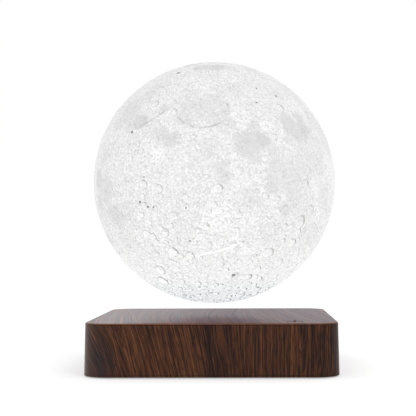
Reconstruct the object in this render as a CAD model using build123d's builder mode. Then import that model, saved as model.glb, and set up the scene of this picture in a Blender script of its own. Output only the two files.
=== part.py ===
"""Floating moon lamp: a hollow globe with a cratered skin that hovers over a square wooden base.

Millimetres, +Z up. The origin is on the table, under the middle of the base. The front of the
base faces -Y and the power socket is in the back wall, facing +Y. The globe hangs in the field of
the base's ring magnet, so nothing solid joins it to the base.
"""

import os
from math import atan, cos, degrees, pi, radians, sin, sqrt

from build123d import *

os.makedirs("parts", exist_ok=True)

CENTRED_UP = (Align.CENTER, Align.CENTER, Align.MIN)
CENTRED_DOWN = (Align.CENTER, Align.CENTER, Align.MAX)

# Clearances shared by several pieces
overrun = 1.0
slip_gap = 0.1
thread_gap = 0.05
running_gap = 0.3

# Wooden housing, one box open below
foot_proud = 0.6
housing_width = 144.0
housing_height = 30.0
side_flare = 0.6
corner_radius = 14.0
top_edge_radius = 0.8
bottom_edge_radius = 0.4
cavity_wall = 6.5
rebate_wall = 4.5
top_thickness = 3.5
boss_inset = 5.5
boss_radius = 6.0

# Bottom cover, let into the housing's rebate
cover_thickness = 3.0
cover_gap = 0.2
foot_recess = 0.8
foot_radius = 6.0
foot_inset = 14.0
foot_edge = 0.3
vent_length = 42.0
vent_width = 2.2
vent_pitch = 7.0
vent_rows = 5

# Screws of the base: four in the cover, four through the levitation module
cover_screw_length = 10.0
cover_screw_radius = 1.45
cover_head_radius = 2.8
cover_head_height = 1.7
module_screw_grip = 3.8
cross_length_share = 1.2
cross_width_share = 0.24
cross_depth_share = 0.55
head_edge_share = 0.3

# Main circuit board on the cover's standoffs
standoff_height = 4.5
standoff_radius = 4.0
board_edge_gap = 6.5
board_thickness = 1.6
board_corner_cut = 14.0

# Ring magnet in its tray, with a flat cover on top; it fills the room that the socket leaves
ring_width_share = 1 / 3
ring_chamfer = 0.6
tray_wall = 2.0
tray_floor = 1.5
tray_cover_thickness = 1.5
tray_cover_bore = 9.0
ear_radius = 4.0
ear_reach = 2.2

# Sending coil for the globe's power, wound flat on the tray cover
sending_margin = 2.0
sending_width = 16.0
sending_height = 2.0
ceiling_room = 2.3

# Four steering electromagnets inside the ring
bobbin_gap = 1.2
bobbin_apart = 3.0
bobbin_drop = 0.5
bobbin_flange = 1.0
bobbin_wall = 1.0
winding_inset = 0.6
core_radius_share = 0.345

# Hall sensors on a block between the electromagnets
sensor_block_gap = 1.7
sensor_block_drop = 3.0
sensor_width = 3.0
sensor_depth = 1.5
sensor_height = 1.6
sensor_ring_radius = 2.9
sensor_count = 3

# Chips and capacitors of the main board
control_chip_width = 10.0
control_chip_height = 1.6
driver_length = 6.5
driver_width = 6.0
driver_height = 2.3
driver_inset = 13.0
capacitor_radius = 4.0
capacitor_edge = 0.6
capacitor_x = 16.0
capacitor_gap = 2.7
capacitor_room = 5.9

# Power socket for a round low-voltage plug, behind a recess in the back wall
socket_width = 9.0
socket_body_height = 11.0
socket_body_length = 12.0
socket_room = 3.4
socket_nose_radius = 3.9
socket_nose_length = 2.0
socket_nose_gap = 0.2
socket_axis_height = 6.5
socket_bore_radius = 3.0
socket_bore_depth = 10.0
socket_pin_radius = 1.0
socket_pin_setback = 0.8
socket_pin_tip = 0.4
plug_recess_radius = 6.2
plug_recess_edge = 0.5

# Touch switch: a ring cut in the top, a small stud in its middle and a board under it
touch_side_inset = 24.5
touch_front_inset = 16.0
touch_ring_radius = 4.5
touch_ring_width = 0.7
touch_ring_depth = 0.4
touch_stud_radius = 0.85
touch_stud_height = 0.7
touch_shank_radius = 0.55
touch_board_width = 10.0
touch_board_thickness = 1.6

# Wires inside the base
touch_wire_radius = 0.6
touch_wire_inset = 1.6
sending_wire_radius = 0.6
sending_wire_room = 4.4
sending_wire_bend = 3.8

# Globe: hollow printed shell with a round hole and neck at the bottom
float_gap = 7.65
globe_radius = 75.0
globe_wall = 1.4
neck_wall = 1.6
neck_height = 10.0

# Craters pressed into the shell, spread along a spiral from pole to pole
crater_count = 90
crater_radius = 8.0
crater_depth = 0.7
crater_radius_shares = [1.0, 0.45, 0.7, 0.38, 0.85, 0.5, 0.6]
crater_lowest_share = -0.86
crater_highest_share = 0.985
golden_turn_share = 0.381966

# Bottom cap that closes the globe and holds the float magnet
cap_floor = 6.4
collar_width = 6.6

# Float magnet and the coil that receives the power, under it
magnet_radius = 20.0
magnet_height = 10.0
magnet_chamfer = 0.6
receiving_margin = 2.0
receiving_width = 10.0
receiving_height = 1.6
receiving_gap = 0.2

# Retainer plate over the float magnet, and its screws
plate_thickness = 2.0
plate_edge_gap = 0.25
plate_screw_length = 8.0
plate_screw_radius = 1.0
plate_head_radius = 2.0
plate_head_height = 1.3

# Receiver board on spacers
spacer_radius = 2.5
spacer_height = 8.0
spacer_stud_radius = 1.25
board_screw_length = 5.0
receiver_board_margin = 2.9
receiver_board_thickness = 1.6
receiver_chip_width = 6.0
receiver_chip_height = 1.5

# Light: a tube up to the middle of the globe, a small round board and its LEDs
post_radius = 5.0
post_wall = 1.2
post_height = 38.0
post_foot_radius = 8.0
post_foot_height = 1.5
light_board_radius = 13.0
light_board_thickness = 1.6
led_width = 4.0
led_height = 1.4
led_edge = 1.5
led_count = 6

# Wires inside the globe
light_wire_radius = 0.9
receiving_wire_radius = 0.5
receiving_wire_bend = 1.5
receiving_wire_angle = 60.0
wire_way_gap = 0.1
wire_way_wall = 1.1

# Levels and places of the base that follow from the sizes above
housing_floor = foot_proud
ledge_level = housing_floor + cover_thickness
top_level = housing_floor + housing_height
ceiling_level = top_level - top_thickness
board_level = ledge_level + standoff_height
board_top = board_level + board_thickness
ring_level = board_top + tray_floor
tray_cover_top = ceiling_level - ceiling_room - sending_height
tray_top = tray_cover_top - tray_cover_thickness
ring_height = tray_top - slip_gap - ring_level
back_wall = housing_width / 2 - cavity_wall
boss_place = back_wall - boss_inset
foot_place = boss_place - foot_inset
board_width = 2 * (back_wall - board_edge_gap)
tray_radius = back_wall - socket_body_length - socket_room
ring_outer_radius = tray_radius - tray_wall - slip_gap
ring_inner_radius = ring_outer_radius * (1 - ring_width_share)
tray_bore = ring_inner_radius - slip_gap - tray_wall
module_screw_place = (tray_radius + ear_reach) / sqrt(2)
driver_place = module_screw_place - driver_inset
sending_outer_radius = ring_outer_radius - sending_margin
sending_inner_radius = sending_outer_radius - sending_width
bobbin_radius = (tray_bore - bobbin_gap - bobbin_apart / sqrt(2)) / (1 + sqrt(2))
bobbin_height = tray_top - board_top - bobbin_drop
winding_radius = bobbin_radius - winding_inset
core_radius = core_radius_share * bobbin_radius
coil_place = bobbin_radius + bobbin_apart / 2
sensor_block_radius = sqrt(2) * coil_place - bobbin_radius - sensor_block_gap
sensor_block_height = bobbin_height - sensor_block_drop
capacitor_reach = tray_radius + capacitor_gap + capacitor_radius
capacitor_y = sqrt(capacitor_reach**2 - capacitor_x**2)
capacitor_height = ceiling_level - board_top - capacitor_room
socket_level = board_top + socket_axis_height
touch_x = housing_width / 2 - touch_side_inset
touch_y = touch_front_inset - housing_width / 2

# Levels and places of the globe that follow from the sizes above
globe_bottom = top_level + float_gap
globe_centre = globe_bottom + globe_radius
cap_floor_level = globe_bottom + cap_floor
coil_seat_level = cap_floor_level - receiving_height - receiving_gap
pocket_radius = magnet_radius + running_gap
cap_radius = pocket_radius + collar_width
opening_radius = cap_radius + slip_gap
collar_screw_place = pocket_radius + collar_width / 2
receiving_outer_radius = magnet_radius - receiving_margin
receiving_inner_radius = receiving_outer_radius - receiving_width
wire_way = receiving_wire_radius + wire_way_gap
receiving_wire_place = pocket_radius + wire_way_wall + wire_way
magnet_level = cap_floor_level + running_gap
plate_level = magnet_level + magnet_height + running_gap
plate_top = plate_level + plate_thickness
receiver_level = plate_top + spacer_height
receiver_top = receiver_level + receiver_board_thickness
receiver_board_radius = cap_radius - receiver_board_margin
spacer_place = (post_foot_radius + receiver_board_radius) / 2
light_level = receiver_top + post_height
led_place = light_board_radius - led_edge - led_width / 2


def sphere_drop(radius, distance):
    """Height of a sphere's lower half at a distance from its axis, below its centre."""
    return -sqrt(radius**2 - distance**2)


def make_screw(length, shank_radius, head_radius, head_height):
    """A round-headed screw: its head sits on the origin and its shank hangs below."""
    cross_length = cross_length_share * head_radius
    cross_width = cross_width_share * head_radius
    with BuildPart() as screw:
        Cylinder(shank_radius, length, align=CENTRED_DOWN)
        Cylinder(head_radius, head_height, align=CENTRED_UP)
        crown = screw.faces().sort_by(Axis.Z)[-1].edges()
        fillet(crown, head_edge_share * head_height)
        with BuildSketch(Plane.XY.offset(head_height)):
            Rectangle(cross_length, cross_width)
            Rectangle(cross_width, cross_length)
        extrude(amount=-cross_depth_share * head_height, mode=Mode.SUBTRACT)
    return screw.part


def four_corners(place, level):
    """The four places of a square pattern at one level."""
    return [(x, y, level) for x in (-place, place) for y in (-place, place)]


def round_places(place, level, count, start=0.0):
    """Places spread evenly round the Z axis."""
    turns = [radians(start) + 2 * pi * k / count for k in range(count)]
    return [(place * cos(turn), place * sin(turn), level) for turn in turns]


def save(piece, name):
    """Names a finished piece and writes it to its own file."""
    piece.part.label = name
    export_step(piece.part, f"parts/{name}.step")


# Wooden housing: four walls and a top in one piece, with the corners rounded and the walls
# leaning outwards a little towards the table
draft = degrees(atan(side_flare / housing_height))
bottom_width = housing_width + 2 * side_flare
rebate_width = housing_width - 2 * rebate_wall
cavity_width = housing_width - 2 * cavity_wall
with BuildPart() as wood_housing:
    with BuildSketch(Plane.XY.offset(housing_floor)):
        RectangleRounded(bottom_width, bottom_width, corner_radius + side_flare)
    extrude(amount=housing_height, taper=draft)
    fillet(wood_housing.faces().sort_by(Axis.Z)[-1].edges(), top_edge_radius)
    fillet(wood_housing.faces().sort_by(Axis.Z)[0].edges(), bottom_edge_radius)
    with BuildSketch(Plane.XY.offset(housing_floor)):
        RectangleRounded(rebate_width, rebate_width, corner_radius - rebate_wall)
    extrude(amount=cover_thickness, mode=Mode.SUBTRACT)
    with BuildSketch(Plane.XY.offset(ledge_level)):
        RectangleRounded(cavity_width, cavity_width, corner_radius - cavity_wall)
        with GridLocations(2 * boss_place, 2 * boss_place, 2, 2):
            Circle(boss_radius, mode=Mode.SUBTRACT)
    extrude(amount=ceiling_level - ledge_level, mode=Mode.SUBTRACT)
    # Pilot holes for the cover screws, from below
    with BuildSketch(Plane.XY.offset(ledge_level)):
        with GridLocations(2 * boss_place, 2 * boss_place, 2, 2):
            Circle(cover_screw_radius + thread_gap)
    extrude(amount=cover_screw_length, mode=Mode.SUBTRACT)
    # Way through the back wall: a hole for the socket's nose and a wide recess for the plug
    nose_face = back_wall + socket_nose_length
    with BuildSketch(Plane((0, back_wall - overrun, socket_level), (-1, 0, 0), (0, 1, 0))):
        Circle(socket_nose_radius + socket_nose_gap)
    extrude(amount=socket_nose_length + 2 * overrun, mode=Mode.SUBTRACT)
    with BuildSketch(Plane((0, nose_face, socket_level), (-1, 0, 0), (0, 1, 0))):
        Circle(plug_recess_radius)
    extrude(amount=cavity_wall + side_flare, mode=Mode.SUBTRACT)
    pierced = wood_housing.faces().filter_by(lambda face: len(face.inner_wires()) > 0)
    recess_mouth = pierced.sort_by(Axis.Y)[-1].inner_wires()[0]
    chamfer(recess_mouth.edges(), plug_recess_edge)
    # Touch mark: a ring-shaped groove, and the hole for the stud in its middle
    with BuildSketch(Plane.XY.offset(top_level)):
        with Locations((touch_x, touch_y)):
            Circle(touch_ring_radius + touch_ring_width / 2)
            Circle(touch_ring_radius - touch_ring_width / 2, mode=Mode.SUBTRACT)
    extrude(amount=-touch_ring_depth, mode=Mode.SUBTRACT)
    with BuildSketch(Plane.XY.offset(ceiling_level)):
        with Locations((touch_x, touch_y)):
            Circle(touch_shank_radius + thread_gap)
    extrude(amount=top_thickness, mode=Mode.SUBTRACT)
save(wood_housing, "wood_housing")

# Bottom cover: a black plate with four standoffs, screw holes with sunk seats for the heads,
# shallow seats for the feet and a row of vents under the electromagnets
cover_width = rebate_width - 2 * cover_gap
head_seat = cover_head_height + thread_gap
with BuildPart() as bottom_cover:
    with BuildSketch(Plane.XY.offset(housing_floor)):
        RectangleRounded(cover_width, cover_width, corner_radius - rebate_wall - cover_gap)
        with GridLocations(vent_pitch, vent_pitch, 1, vent_rows):
            SlotOverall(vent_length, vent_width, mode=Mode.SUBTRACT)
        with GridLocations(2 * boss_place, 2 * boss_place, 2, 2):
            Circle(cover_screw_radius + slip_gap, mode=Mode.SUBTRACT)
    extrude(amount=cover_thickness)
    with BuildSketch(Plane.XY.offset(housing_floor)):
        with GridLocations(2 * boss_place, 2 * boss_place, 2, 2):
            Circle(cover_head_radius + slip_gap)
    extrude(amount=head_seat, mode=Mode.SUBTRACT)
    with BuildSketch(Plane.XY.offset(housing_floor)):
        with GridLocations(2 * foot_place, 2 * foot_place, 2, 2):
            Circle(foot_radius + slip_gap)
    extrude(amount=foot_recess, mode=Mode.SUBTRACT)
    with BuildSketch(Plane.XY.offset(ledge_level)):
        with GridLocations(2 * module_screw_place, 2 * module_screw_place, 2, 2):
            Circle(standoff_radius)
    extrude(amount=standoff_height)
    with BuildSketch(Plane.XY.offset(board_level)):
        with GridLocations(2 * module_screw_place, 2 * module_screw_place, 2, 2):
            Circle(cover_screw_radius + thread_gap)
    extrude(amount=-standoff_height, mode=Mode.SUBTRACT)
save(bottom_cover, "bottom_cover")

cover_screw = make_screw(
    cover_screw_length, cover_screw_radius, cover_head_radius, cover_head_height
)
with BuildPart() as cover_screws:
    for place in four_corners(boss_place, housing_floor + head_seat):
        with Locations(Location(place, (180, 0, 0))):
            add(cover_screw)
save(cover_screws, "cover_screws")

with BuildPart() as rubber_feet:
    with Locations(*four_corners(foot_place, 0)):
        Cylinder(foot_radius, foot_recess + foot_proud, align=CENTRED_UP)
    rims = rubber_feet.edges().group_by(Axis.Z)[0]
    chamfer(rims, foot_edge)
save(rubber_feet, "rubber_feet")

# Main circuit board: a square with its corners cut off, clear of the housing's bosses
with BuildPart() as main_board:
    with BuildSketch(Plane.XY.offset(board_level)) as board_outline:
        Rectangle(board_width, board_width)
        chamfer(board_outline.vertices(), board_corner_cut)
        with GridLocations(2 * module_screw_place, 2 * module_screw_place, 2, 2):
            Circle(cover_screw_radius + slip_gap, mode=Mode.SUBTRACT)
    extrude(amount=board_thickness)
save(main_board, "main_board")

# Control chip, driver chips and capacitors: chips under the board, capacitors on top beside
# the power socket
with BuildPart() as control_chip:
    with Locations((0, 0, board_level)):
        Box(control_chip_width, control_chip_width, control_chip_height, align=CENTRED_DOWN)
save(control_chip, "control_chip")

with BuildPart() as driver_chips:
    with Locations(*four_corners(driver_place, board_level)):
        Box(driver_length, driver_width, driver_height, align=CENTRED_DOWN)
save(driver_chips, "driver_chips")

with BuildPart() as capacitors:
    with Locations(*[(x, capacitor_y, board_top) for x in (-capacitor_x, capacitor_x)]):
        Cylinder(capacitor_radius, capacitor_height, align=CENTRED_UP)
    fillet(capacitors.edges().group_by(Axis.Z)[-1], capacitor_edge)
save(capacitors, "capacitors")

# Magnet tray: a ring-shaped trough with four ears, screwed down through the board
with BuildPart() as magnet_tray:
    with BuildSketch(Plane.XY.offset(board_top)):
        Circle(tray_radius)
        with GridLocations(2 * module_screw_place, 2 * module_screw_place, 2, 2):
            Circle(ear_radius)
        Circle(tray_bore, mode=Mode.SUBTRACT)
        with GridLocations(2 * module_screw_place, 2 * module_screw_place, 2, 2):
            Circle(cover_screw_radius + slip_gap, mode=Mode.SUBTRACT)
    extrude(amount=tray_top - board_top)
    with BuildSketch(Plane.XY.offset(ring_level)):
        Circle(ring_outer_radius + slip_gap)
        Circle(ring_inner_radius - slip_gap, mode=Mode.SUBTRACT)
    extrude(amount=tray_top - ring_level, mode=Mode.SUBTRACT)
save(magnet_tray, "magnet_tray")

with BuildPart() as ring_magnet:
    with BuildSketch(Plane.XY.offset(ring_level)):
        Circle(ring_outer_radius)
        Circle(ring_inner_radius, mode=Mode.SUBTRACT)
    extrude(amount=ring_height)
    chamfer(ring_magnet.edges().filter_by(GeomType.CIRCLE), ring_chamfer)
save(ring_magnet, "ring_magnet")

with BuildPart() as tray_cover:
    with BuildSketch(Plane.XY.offset(tray_top)):
        Circle(tray_radius)
        with GridLocations(2 * module_screw_place, 2 * module_screw_place, 2, 2):
            Circle(ear_radius)
        Circle(tray_cover_bore, mode=Mode.SUBTRACT)
        with GridLocations(2 * module_screw_place, 2 * module_screw_place, 2, 2):
            Circle(cover_screw_radius + slip_gap, mode=Mode.SUBTRACT)
    extrude(amount=tray_cover_thickness)
save(tray_cover, "tray_cover")

# The module screws go from the tray cover down into the bottom cover's standoffs
module_screw_length = tray_cover_top - board_level + module_screw_grip
module_screw = make_screw(
    module_screw_length, cover_screw_radius, cover_head_radius, cover_head_height
)
with BuildPart() as module_screws:
    with Locations(*four_corners(module_screw_place, tray_cover_top)):
        add(module_screw)
save(module_screws, "module_screws")

with BuildPart() as sending_coil:
    with BuildSketch(Plane.XY.offset(tray_cover_top)):
        Circle(sending_outer_radius)
        Circle(sending_inner_radius, mode=Mode.SUBTRACT)
    extrude(amount=sending_height)
save(sending_coil, "sending_coil")

# Steering electromagnets: each is a flanged bobbin, its copper winding and a soft iron core
bobbin_bore = core_radius + thread_gap
hub_radius = bobbin_bore + bobbin_wall
coil_places = four_corners(coil_place, board_top)
for number, place in enumerate(coil_places, start=1):
    with BuildPart() as coil_bobbin:
        with Locations(place):
            Cylinder(bobbin_radius, bobbin_height, align=CENTRED_UP)
            Cylinder(bobbin_bore, bobbin_height, align=CENTRED_UP, mode=Mode.SUBTRACT)
        spool_level = board_top + bobbin_flange
        with BuildSketch(Plane.XY.offset(spool_level)):
            with Locations(place[:2]):
                Circle(bobbin_radius + overrun)
                Circle(hub_radius, mode=Mode.SUBTRACT)
        extrude(amount=bobbin_height - 2 * bobbin_flange, mode=Mode.SUBTRACT)
    save(coil_bobbin, f"coil_bobbin_{number}")

    with BuildPart() as coil_winding:
        with BuildSketch(Plane.XY.offset(spool_level)):
            with Locations(place[:2]):
                Circle(winding_radius)
                Circle(hub_radius + thread_gap, mode=Mode.SUBTRACT)
        extrude(amount=bobbin_height - 2 * bobbin_flange)
    save(coil_winding, f"coil_winding_{number}")

    with BuildPart() as coil_core:
        with Locations(place):
            Cylinder(core_radius, bobbin_height, align=CENTRED_UP)
    save(coil_core, f"coil_core_{number}")

# Hall sensors on top of a round block in the gap between the four electromagnets
with BuildPart() as sensor_block:
    with Locations((0, 0, board_top)):
        Cylinder(sensor_block_radius, sensor_block_height, align=CENTRED_UP)
save(sensor_block, "sensor_block")

sensor_level = board_top + sensor_block_height
with BuildPart() as hall_sensors:
    with Locations((0, 0, sensor_level)):
        with PolarLocations(sensor_ring_radius, sensor_count):
            Box(sensor_depth, sensor_width, sensor_height, align=CENTRED_UP)
save(hall_sensors, "hall_sensors")

# Power socket: a moulded block on the board with a round nose that fills the hole in the
# back wall, a blind bore for the plug's sleeve and a contact pin in the middle of it
bore_floor = nose_face - socket_bore_depth
with BuildPart() as power_socket:
    with Locations((0, back_wall, board_top)):
        Box(
            socket_width,
            socket_body_length,
            socket_body_height,
            align=(Align.CENTER, Align.MAX, Align.MIN),
        )
    with BuildSketch(Plane((0, back_wall, socket_level), (-1, 0, 0), (0, 1, 0))):
        Circle(socket_nose_radius)
    extrude(amount=socket_nose_length)
    with BuildSketch(Plane((0, bore_floor, socket_level), (-1, 0, 0), (0, 1, 0))):
        Circle(socket_bore_radius)
    extrude(amount=socket_bore_depth, mode=Mode.SUBTRACT)
save(power_socket, "power_socket")

with BuildPart() as socket_pin:
    with BuildSketch(Plane((0, bore_floor, socket_level), (-1, 0, 0), (0, 1, 0))):
        Circle(socket_pin_radius)
    extrude(amount=socket_bore_depth - socket_pin_setback)
    chamfer(socket_pin.edges().sort_by(Axis.Y)[-1], socket_pin_tip)
save(socket_pin, "socket_pin")

# Touch switch: a small domed stud through the top, on a small board under the ceiling
dome_radius = (touch_stud_radius**2 + touch_stud_height**2) / (2 * touch_stud_height)
with BuildPart() as touch_stud:
    with BuildSketch(Plane.XZ):
        with BuildLine():
            shank_foot = (0, ceiling_level)
            shank_side = (touch_shank_radius, ceiling_level)
            neck = (touch_shank_radius, top_level)
            rim = (touch_stud_radius, top_level)
            crown = (0, top_level + touch_stud_height)
            Polyline(crown, shank_foot, shank_side, neck, rim)
            RadiusArc(rim, crown, -dome_radius)
        make_face()
    revolve(axis=Axis.Z)
touch_stud.part.position = (touch_x, touch_y, 0)
save(touch_stud, "touch_stud")

with BuildPart() as touch_board:
    with Locations((touch_x, touch_y, ceiling_level)):
        Box(touch_board_width, touch_board_width, touch_board_thickness, align=CENTRED_DOWN)
save(touch_board, "touch_board")


def make_wire(points, bend, radius):
    """A wire of round section along straight runs with a tangent arc at each corner."""
    path = FilletPolyline(*points, radius=bend)
    with BuildPart() as wire:
        with BuildSketch(Plane(path @ 0, z_dir=path % 0)):
            Circle(radius)
        sweep(path=path)
    print("volume over section times length", wire.part.volume / (pi * radius**2 * path.length))
    print("bend in wire diameters", bend / (2 * radius))
    return wire


# Wire straight down from the touch board's inner corner to the main board
touch_wire_top = ceiling_level - touch_board_thickness
touch_wire_shift = touch_board_width / 2 - touch_wire_inset
with BuildPart() as touch_wire:
    with Locations((touch_x - touch_wire_shift, touch_y + touch_wire_shift, board_top)):
        Cylinder(touch_wire_radius, touch_wire_top - board_top, align=CENTRED_UP)
save(touch_wire, "touch_wire")

# Wire from the sending coil out past the tray and down to the main board
sending_wire_level = tray_cover_top + sending_height / 2
sending_wire_place = tray_radius + sending_wire_room
sending_wire = make_wire(
    [
        (-sending_outer_radius, 0, sending_wire_level),
        (-sending_wire_place, 0, sending_wire_level),
        (-sending_wire_place, 0, board_top),
    ],
    sending_wire_bend,
    sending_wire_radius,
)
save(sending_wire, "sending_wire")


def crater_list():
    """Plane and radius of each pressing ball, along a spiral with a golden turn per step.

    Each ball is turned so that its own seam and poles stay clear of the globe.
    """
    balls = []
    for k in range(crater_count):
        height = crater_highest_share - 2 * (k + 1) / crater_count
        if height < crater_lowest_share:
            break
        turn = 2 * pi * golden_turn_share * k
        reach = sqrt(1 - height**2)
        rim = crater_radius * crater_radius_shares[k % len(crater_radius_shares)]
        depth = crater_depth * sqrt(rim / crater_radius)
        ball = (rim**2 + depth**2) / (2 * depth)
        away = globe_radius - depth + ball
        outward = (reach * cos(turn), reach * sin(turn), height)
        sideways = (-sin(turn), cos(turn), 0)
        centre = (away * outward[0], away * outward[1], globe_centre + away * height)
        balls.append((Plane(centre, x_dir=outward, z_dir=sideways), ball))
    return balls


# Globe shell: a hollow printed ball, open at the bottom where a short neck guides the cap
inner_radius = globe_radius - globe_wall
neck_radius = opening_radius + neck_wall
rim_level = globe_centre + sphere_drop(globe_radius, opening_radius)
neck_foot = globe_centre + sphere_drop(inner_radius, neck_radius)
with BuildPart() as moon_shell:
    with BuildSketch(Plane.XZ):
        with BuildLine():
            ThreePointArc(
                (opening_radius, rim_level),
                (globe_radius, globe_centre),
                (0, globe_centre + globe_radius),
            )
            Line((0, globe_centre + globe_radius), (0, globe_centre + inner_radius))
            ThreePointArc(
                (0, globe_centre + inner_radius),
                (inner_radius, globe_centre),
                (neck_radius, neck_foot),
            )
            Polyline(
                (neck_radius, neck_foot),
                (neck_radius, rim_level + neck_height),
                (opening_radius, rim_level + neck_height),
                (opening_radius, rim_level),
            )
        make_face()
    revolve(axis=Axis.Z)
    for ball_plane, ball in crater_list():
        with Locations(ball_plane):
            Sphere(ball, mode=Mode.SUBTRACT)
save(moon_shell, "moon_shell")

# Bottom cap: continues the ball's outside, with a thick collar round the float magnet's
# pocket and a shallow seat for the receiving coil in its floor
cap_rim = globe_centre + sphere_drop(globe_radius, cap_radius)
seat_outer = receiving_outer_radius + slip_gap
seat_inner = receiving_inner_radius - slip_gap
arc_middle = cap_radius / 2
with BuildPart() as bottom_cap:
    with BuildSketch(Plane.XZ):
        with BuildLine():
            ThreePointArc(
                (0, globe_bottom),
                (arc_middle, globe_centre + sphere_drop(globe_radius, arc_middle)),
                (cap_radius, cap_rim),
            )
            Polyline(
                (cap_radius, cap_rim),
                (cap_radius, plate_level),
                (pocket_radius, plate_level),
                (pocket_radius, cap_floor_level),
                (seat_outer, cap_floor_level),
                (seat_outer, coil_seat_level),
                (seat_inner, coil_seat_level),
                (seat_inner, cap_floor_level),
                (0, cap_floor_level),
                (0, globe_bottom),
            )
        make_face()
    revolve(axis=Axis.Z)
    with BuildSketch(Plane.XY.offset(plate_level)):
        with Locations(*[p[:2] for p in round_places(collar_screw_place, 0, 3)]):
            Circle(plate_screw_radius + thread_gap)
    extrude(amount=-plate_screw_length, mode=Mode.SUBTRACT)
    # Way for the receiving coil's wire: out under the pocket, then up through the collar
    wire_way_floor = coil_seat_level + receiving_height / 2 - wire_way
    way_foot = round_places(receiving_wire_place, wire_way_floor, 1, receiving_wire_angle)
    with Locations(*way_foot):
        Cylinder(wire_way, plate_level - wire_way_floor, align=CENTRED_UP, mode=Mode.SUBTRACT)
    way_start = receiving_outer_radius - overrun
    with BuildSketch(Plane.XY.offset(wire_way_floor)):
        with Locations(Location((0, 0), receiving_wire_angle)):
            with Locations((way_start, 0)):
                Rectangle(
                    receiving_wire_place - way_start,
                    2 * wire_way,
                    align=(Align.MIN, Align.CENTER),
                )
    extrude(amount=cap_floor_level - wire_way_floor, mode=Mode.SUBTRACT)
save(bottom_cap, "bottom_cap")

with BuildPart() as receiving_coil:
    with BuildSketch(Plane.XY.offset(coil_seat_level)):
        Circle(receiving_outer_radius)
        Circle(receiving_inner_radius, mode=Mode.SUBTRACT)
    extrude(amount=receiving_height)
save(receiving_coil, "receiving_coil")

with BuildPart() as float_magnet:
    with Locations((0, 0, magnet_level)):
        Cylinder(magnet_radius, magnet_height, align=CENTRED_UP)
    chamfer(float_magnet.edges().filter_by(GeomType.CIRCLE), magnet_chamfer)
save(float_magnet, "float_magnet")

# Retainer plate: closes the magnet's pocket and carries the receiver board's spacers
spacer_spots = [p[:2] for p in round_places(spacer_place, 0, 3, receiving_wire_angle)]
with BuildPart() as magnet_plate:
    with BuildSketch(Plane.XY.offset(plate_level)):
        Circle(cap_radius - plate_edge_gap)
        with Locations(*[p[:2] for p in round_places(collar_screw_place, 0, 3)]):
            Circle(plate_screw_radius + slip_gap, mode=Mode.SUBTRACT)
        with Locations(*spacer_spots):
            Circle(spacer_stud_radius + thread_gap, mode=Mode.SUBTRACT)
        with Locations(*[p[:2] for p in way_foot]):
            Circle(wire_way, mode=Mode.SUBTRACT)
    extrude(amount=plate_thickness)
save(magnet_plate, "magnet_plate")

plate_screw = make_screw(
    plate_screw_length, plate_screw_radius, plate_head_radius, plate_head_height
)
with BuildPart() as plate_screws:
    with Locations(*round_places(collar_screw_place, plate_top, 3)):
        add(plate_screw)
save(plate_screws, "plate_screws")

with BuildPart() as board_spacers:
    with Locations(*[(x, y, plate_top) for x, y in spacer_spots]):
        Cylinder(spacer_radius, spacer_height, align=CENTRED_UP)
        Cylinder(spacer_stud_radius, plate_thickness, align=CENTRED_DOWN)
    with BuildSketch(Plane.XY.offset(receiver_level)):
        with Locations(*spacer_spots):
            Circle(plate_screw_radius + thread_gap)
    extrude(amount=-board_screw_length, mode=Mode.SUBTRACT)
save(board_spacers, "board_spacers")

with BuildPart() as receiver_board:
    with BuildSketch(Plane.XY.offset(receiver_level)):
        Circle(receiver_board_radius)
        with Locations(*spacer_spots):
            Circle(plate_screw_radius + slip_gap, mode=Mode.SUBTRACT)
    extrude(amount=receiver_board_thickness)
save(receiver_board, "receiver_board")

board_screw = make_screw(
    board_screw_length, plate_screw_radius, plate_head_radius, plate_head_height
)
with BuildPart() as board_screws:
    with Locations(*[(x, y, receiver_top) for x, y in spacer_spots]):
        add(board_screw)
save(board_screws, "board_screws")

with BuildPart() as receiver_chips:
    with Locations((0, 0, receiver_top)):
        with PolarLocations(spacer_place, 3):
            Box(
                receiver_chip_width,
                receiver_chip_width,
                receiver_chip_height,
                align=CENTRED_UP,
            )
save(receiver_chips, "receiver_chips")

# Light post: a tube with a wide foot, which holds the LED board in the middle of the globe
with BuildPart() as light_post:
    with Locations((0, 0, receiver_top)):
        Cylinder(post_foot_radius, post_foot_height, align=CENTRED_UP)
        Cylinder(post_radius, post_height, align=CENTRED_UP)
        Cylinder(
            post_radius - post_wall, post_height, align=CENTRED_UP, mode=Mode.SUBTRACT
        )
save(light_post, "light_post")

with BuildPart() as light_board:
    with Locations((0, 0, light_level)):
        Cylinder(light_board_radius, light_board_thickness, align=CENTRED_UP)
save(light_board, "light_board")

with BuildPart() as leds:
    with Locations((0, 0, light_level + light_board_thickness)):
        with PolarLocations(led_place, led_count):
            Box(led_width, led_width, led_height, align=CENTRED_UP)
save(leds, "leds")

# Wires of the globe: one straight up inside the post, one from the receiving coil to the
# receiver board through the cap's collar
with BuildPart() as light_wire:
    with Locations((0, 0, receiver_top)):
        Cylinder(light_wire_radius, post_height, align=CENTRED_UP)
save(light_wire, "light_wire")

wire_level = coil_seat_level + receiving_height / 2
wire_turn = radians(receiving_wire_angle)
wire_reaches = [
    (receiving_outer_radius, wire_level),
    (receiving_wire_place, wire_level),
    (receiving_wire_place, receiver_level),
]
receiving_wire = make_wire(
    [(reach * cos(wire_turn), reach * sin(wire_turn), level) for reach, level in wire_reaches],
    receiving_wire_bend,
    receiving_wire_radius,
)
save(receiving_wire, "receiving_wire")
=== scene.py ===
"""Looks of the floating moon lamp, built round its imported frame, in metres."""
import math

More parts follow.
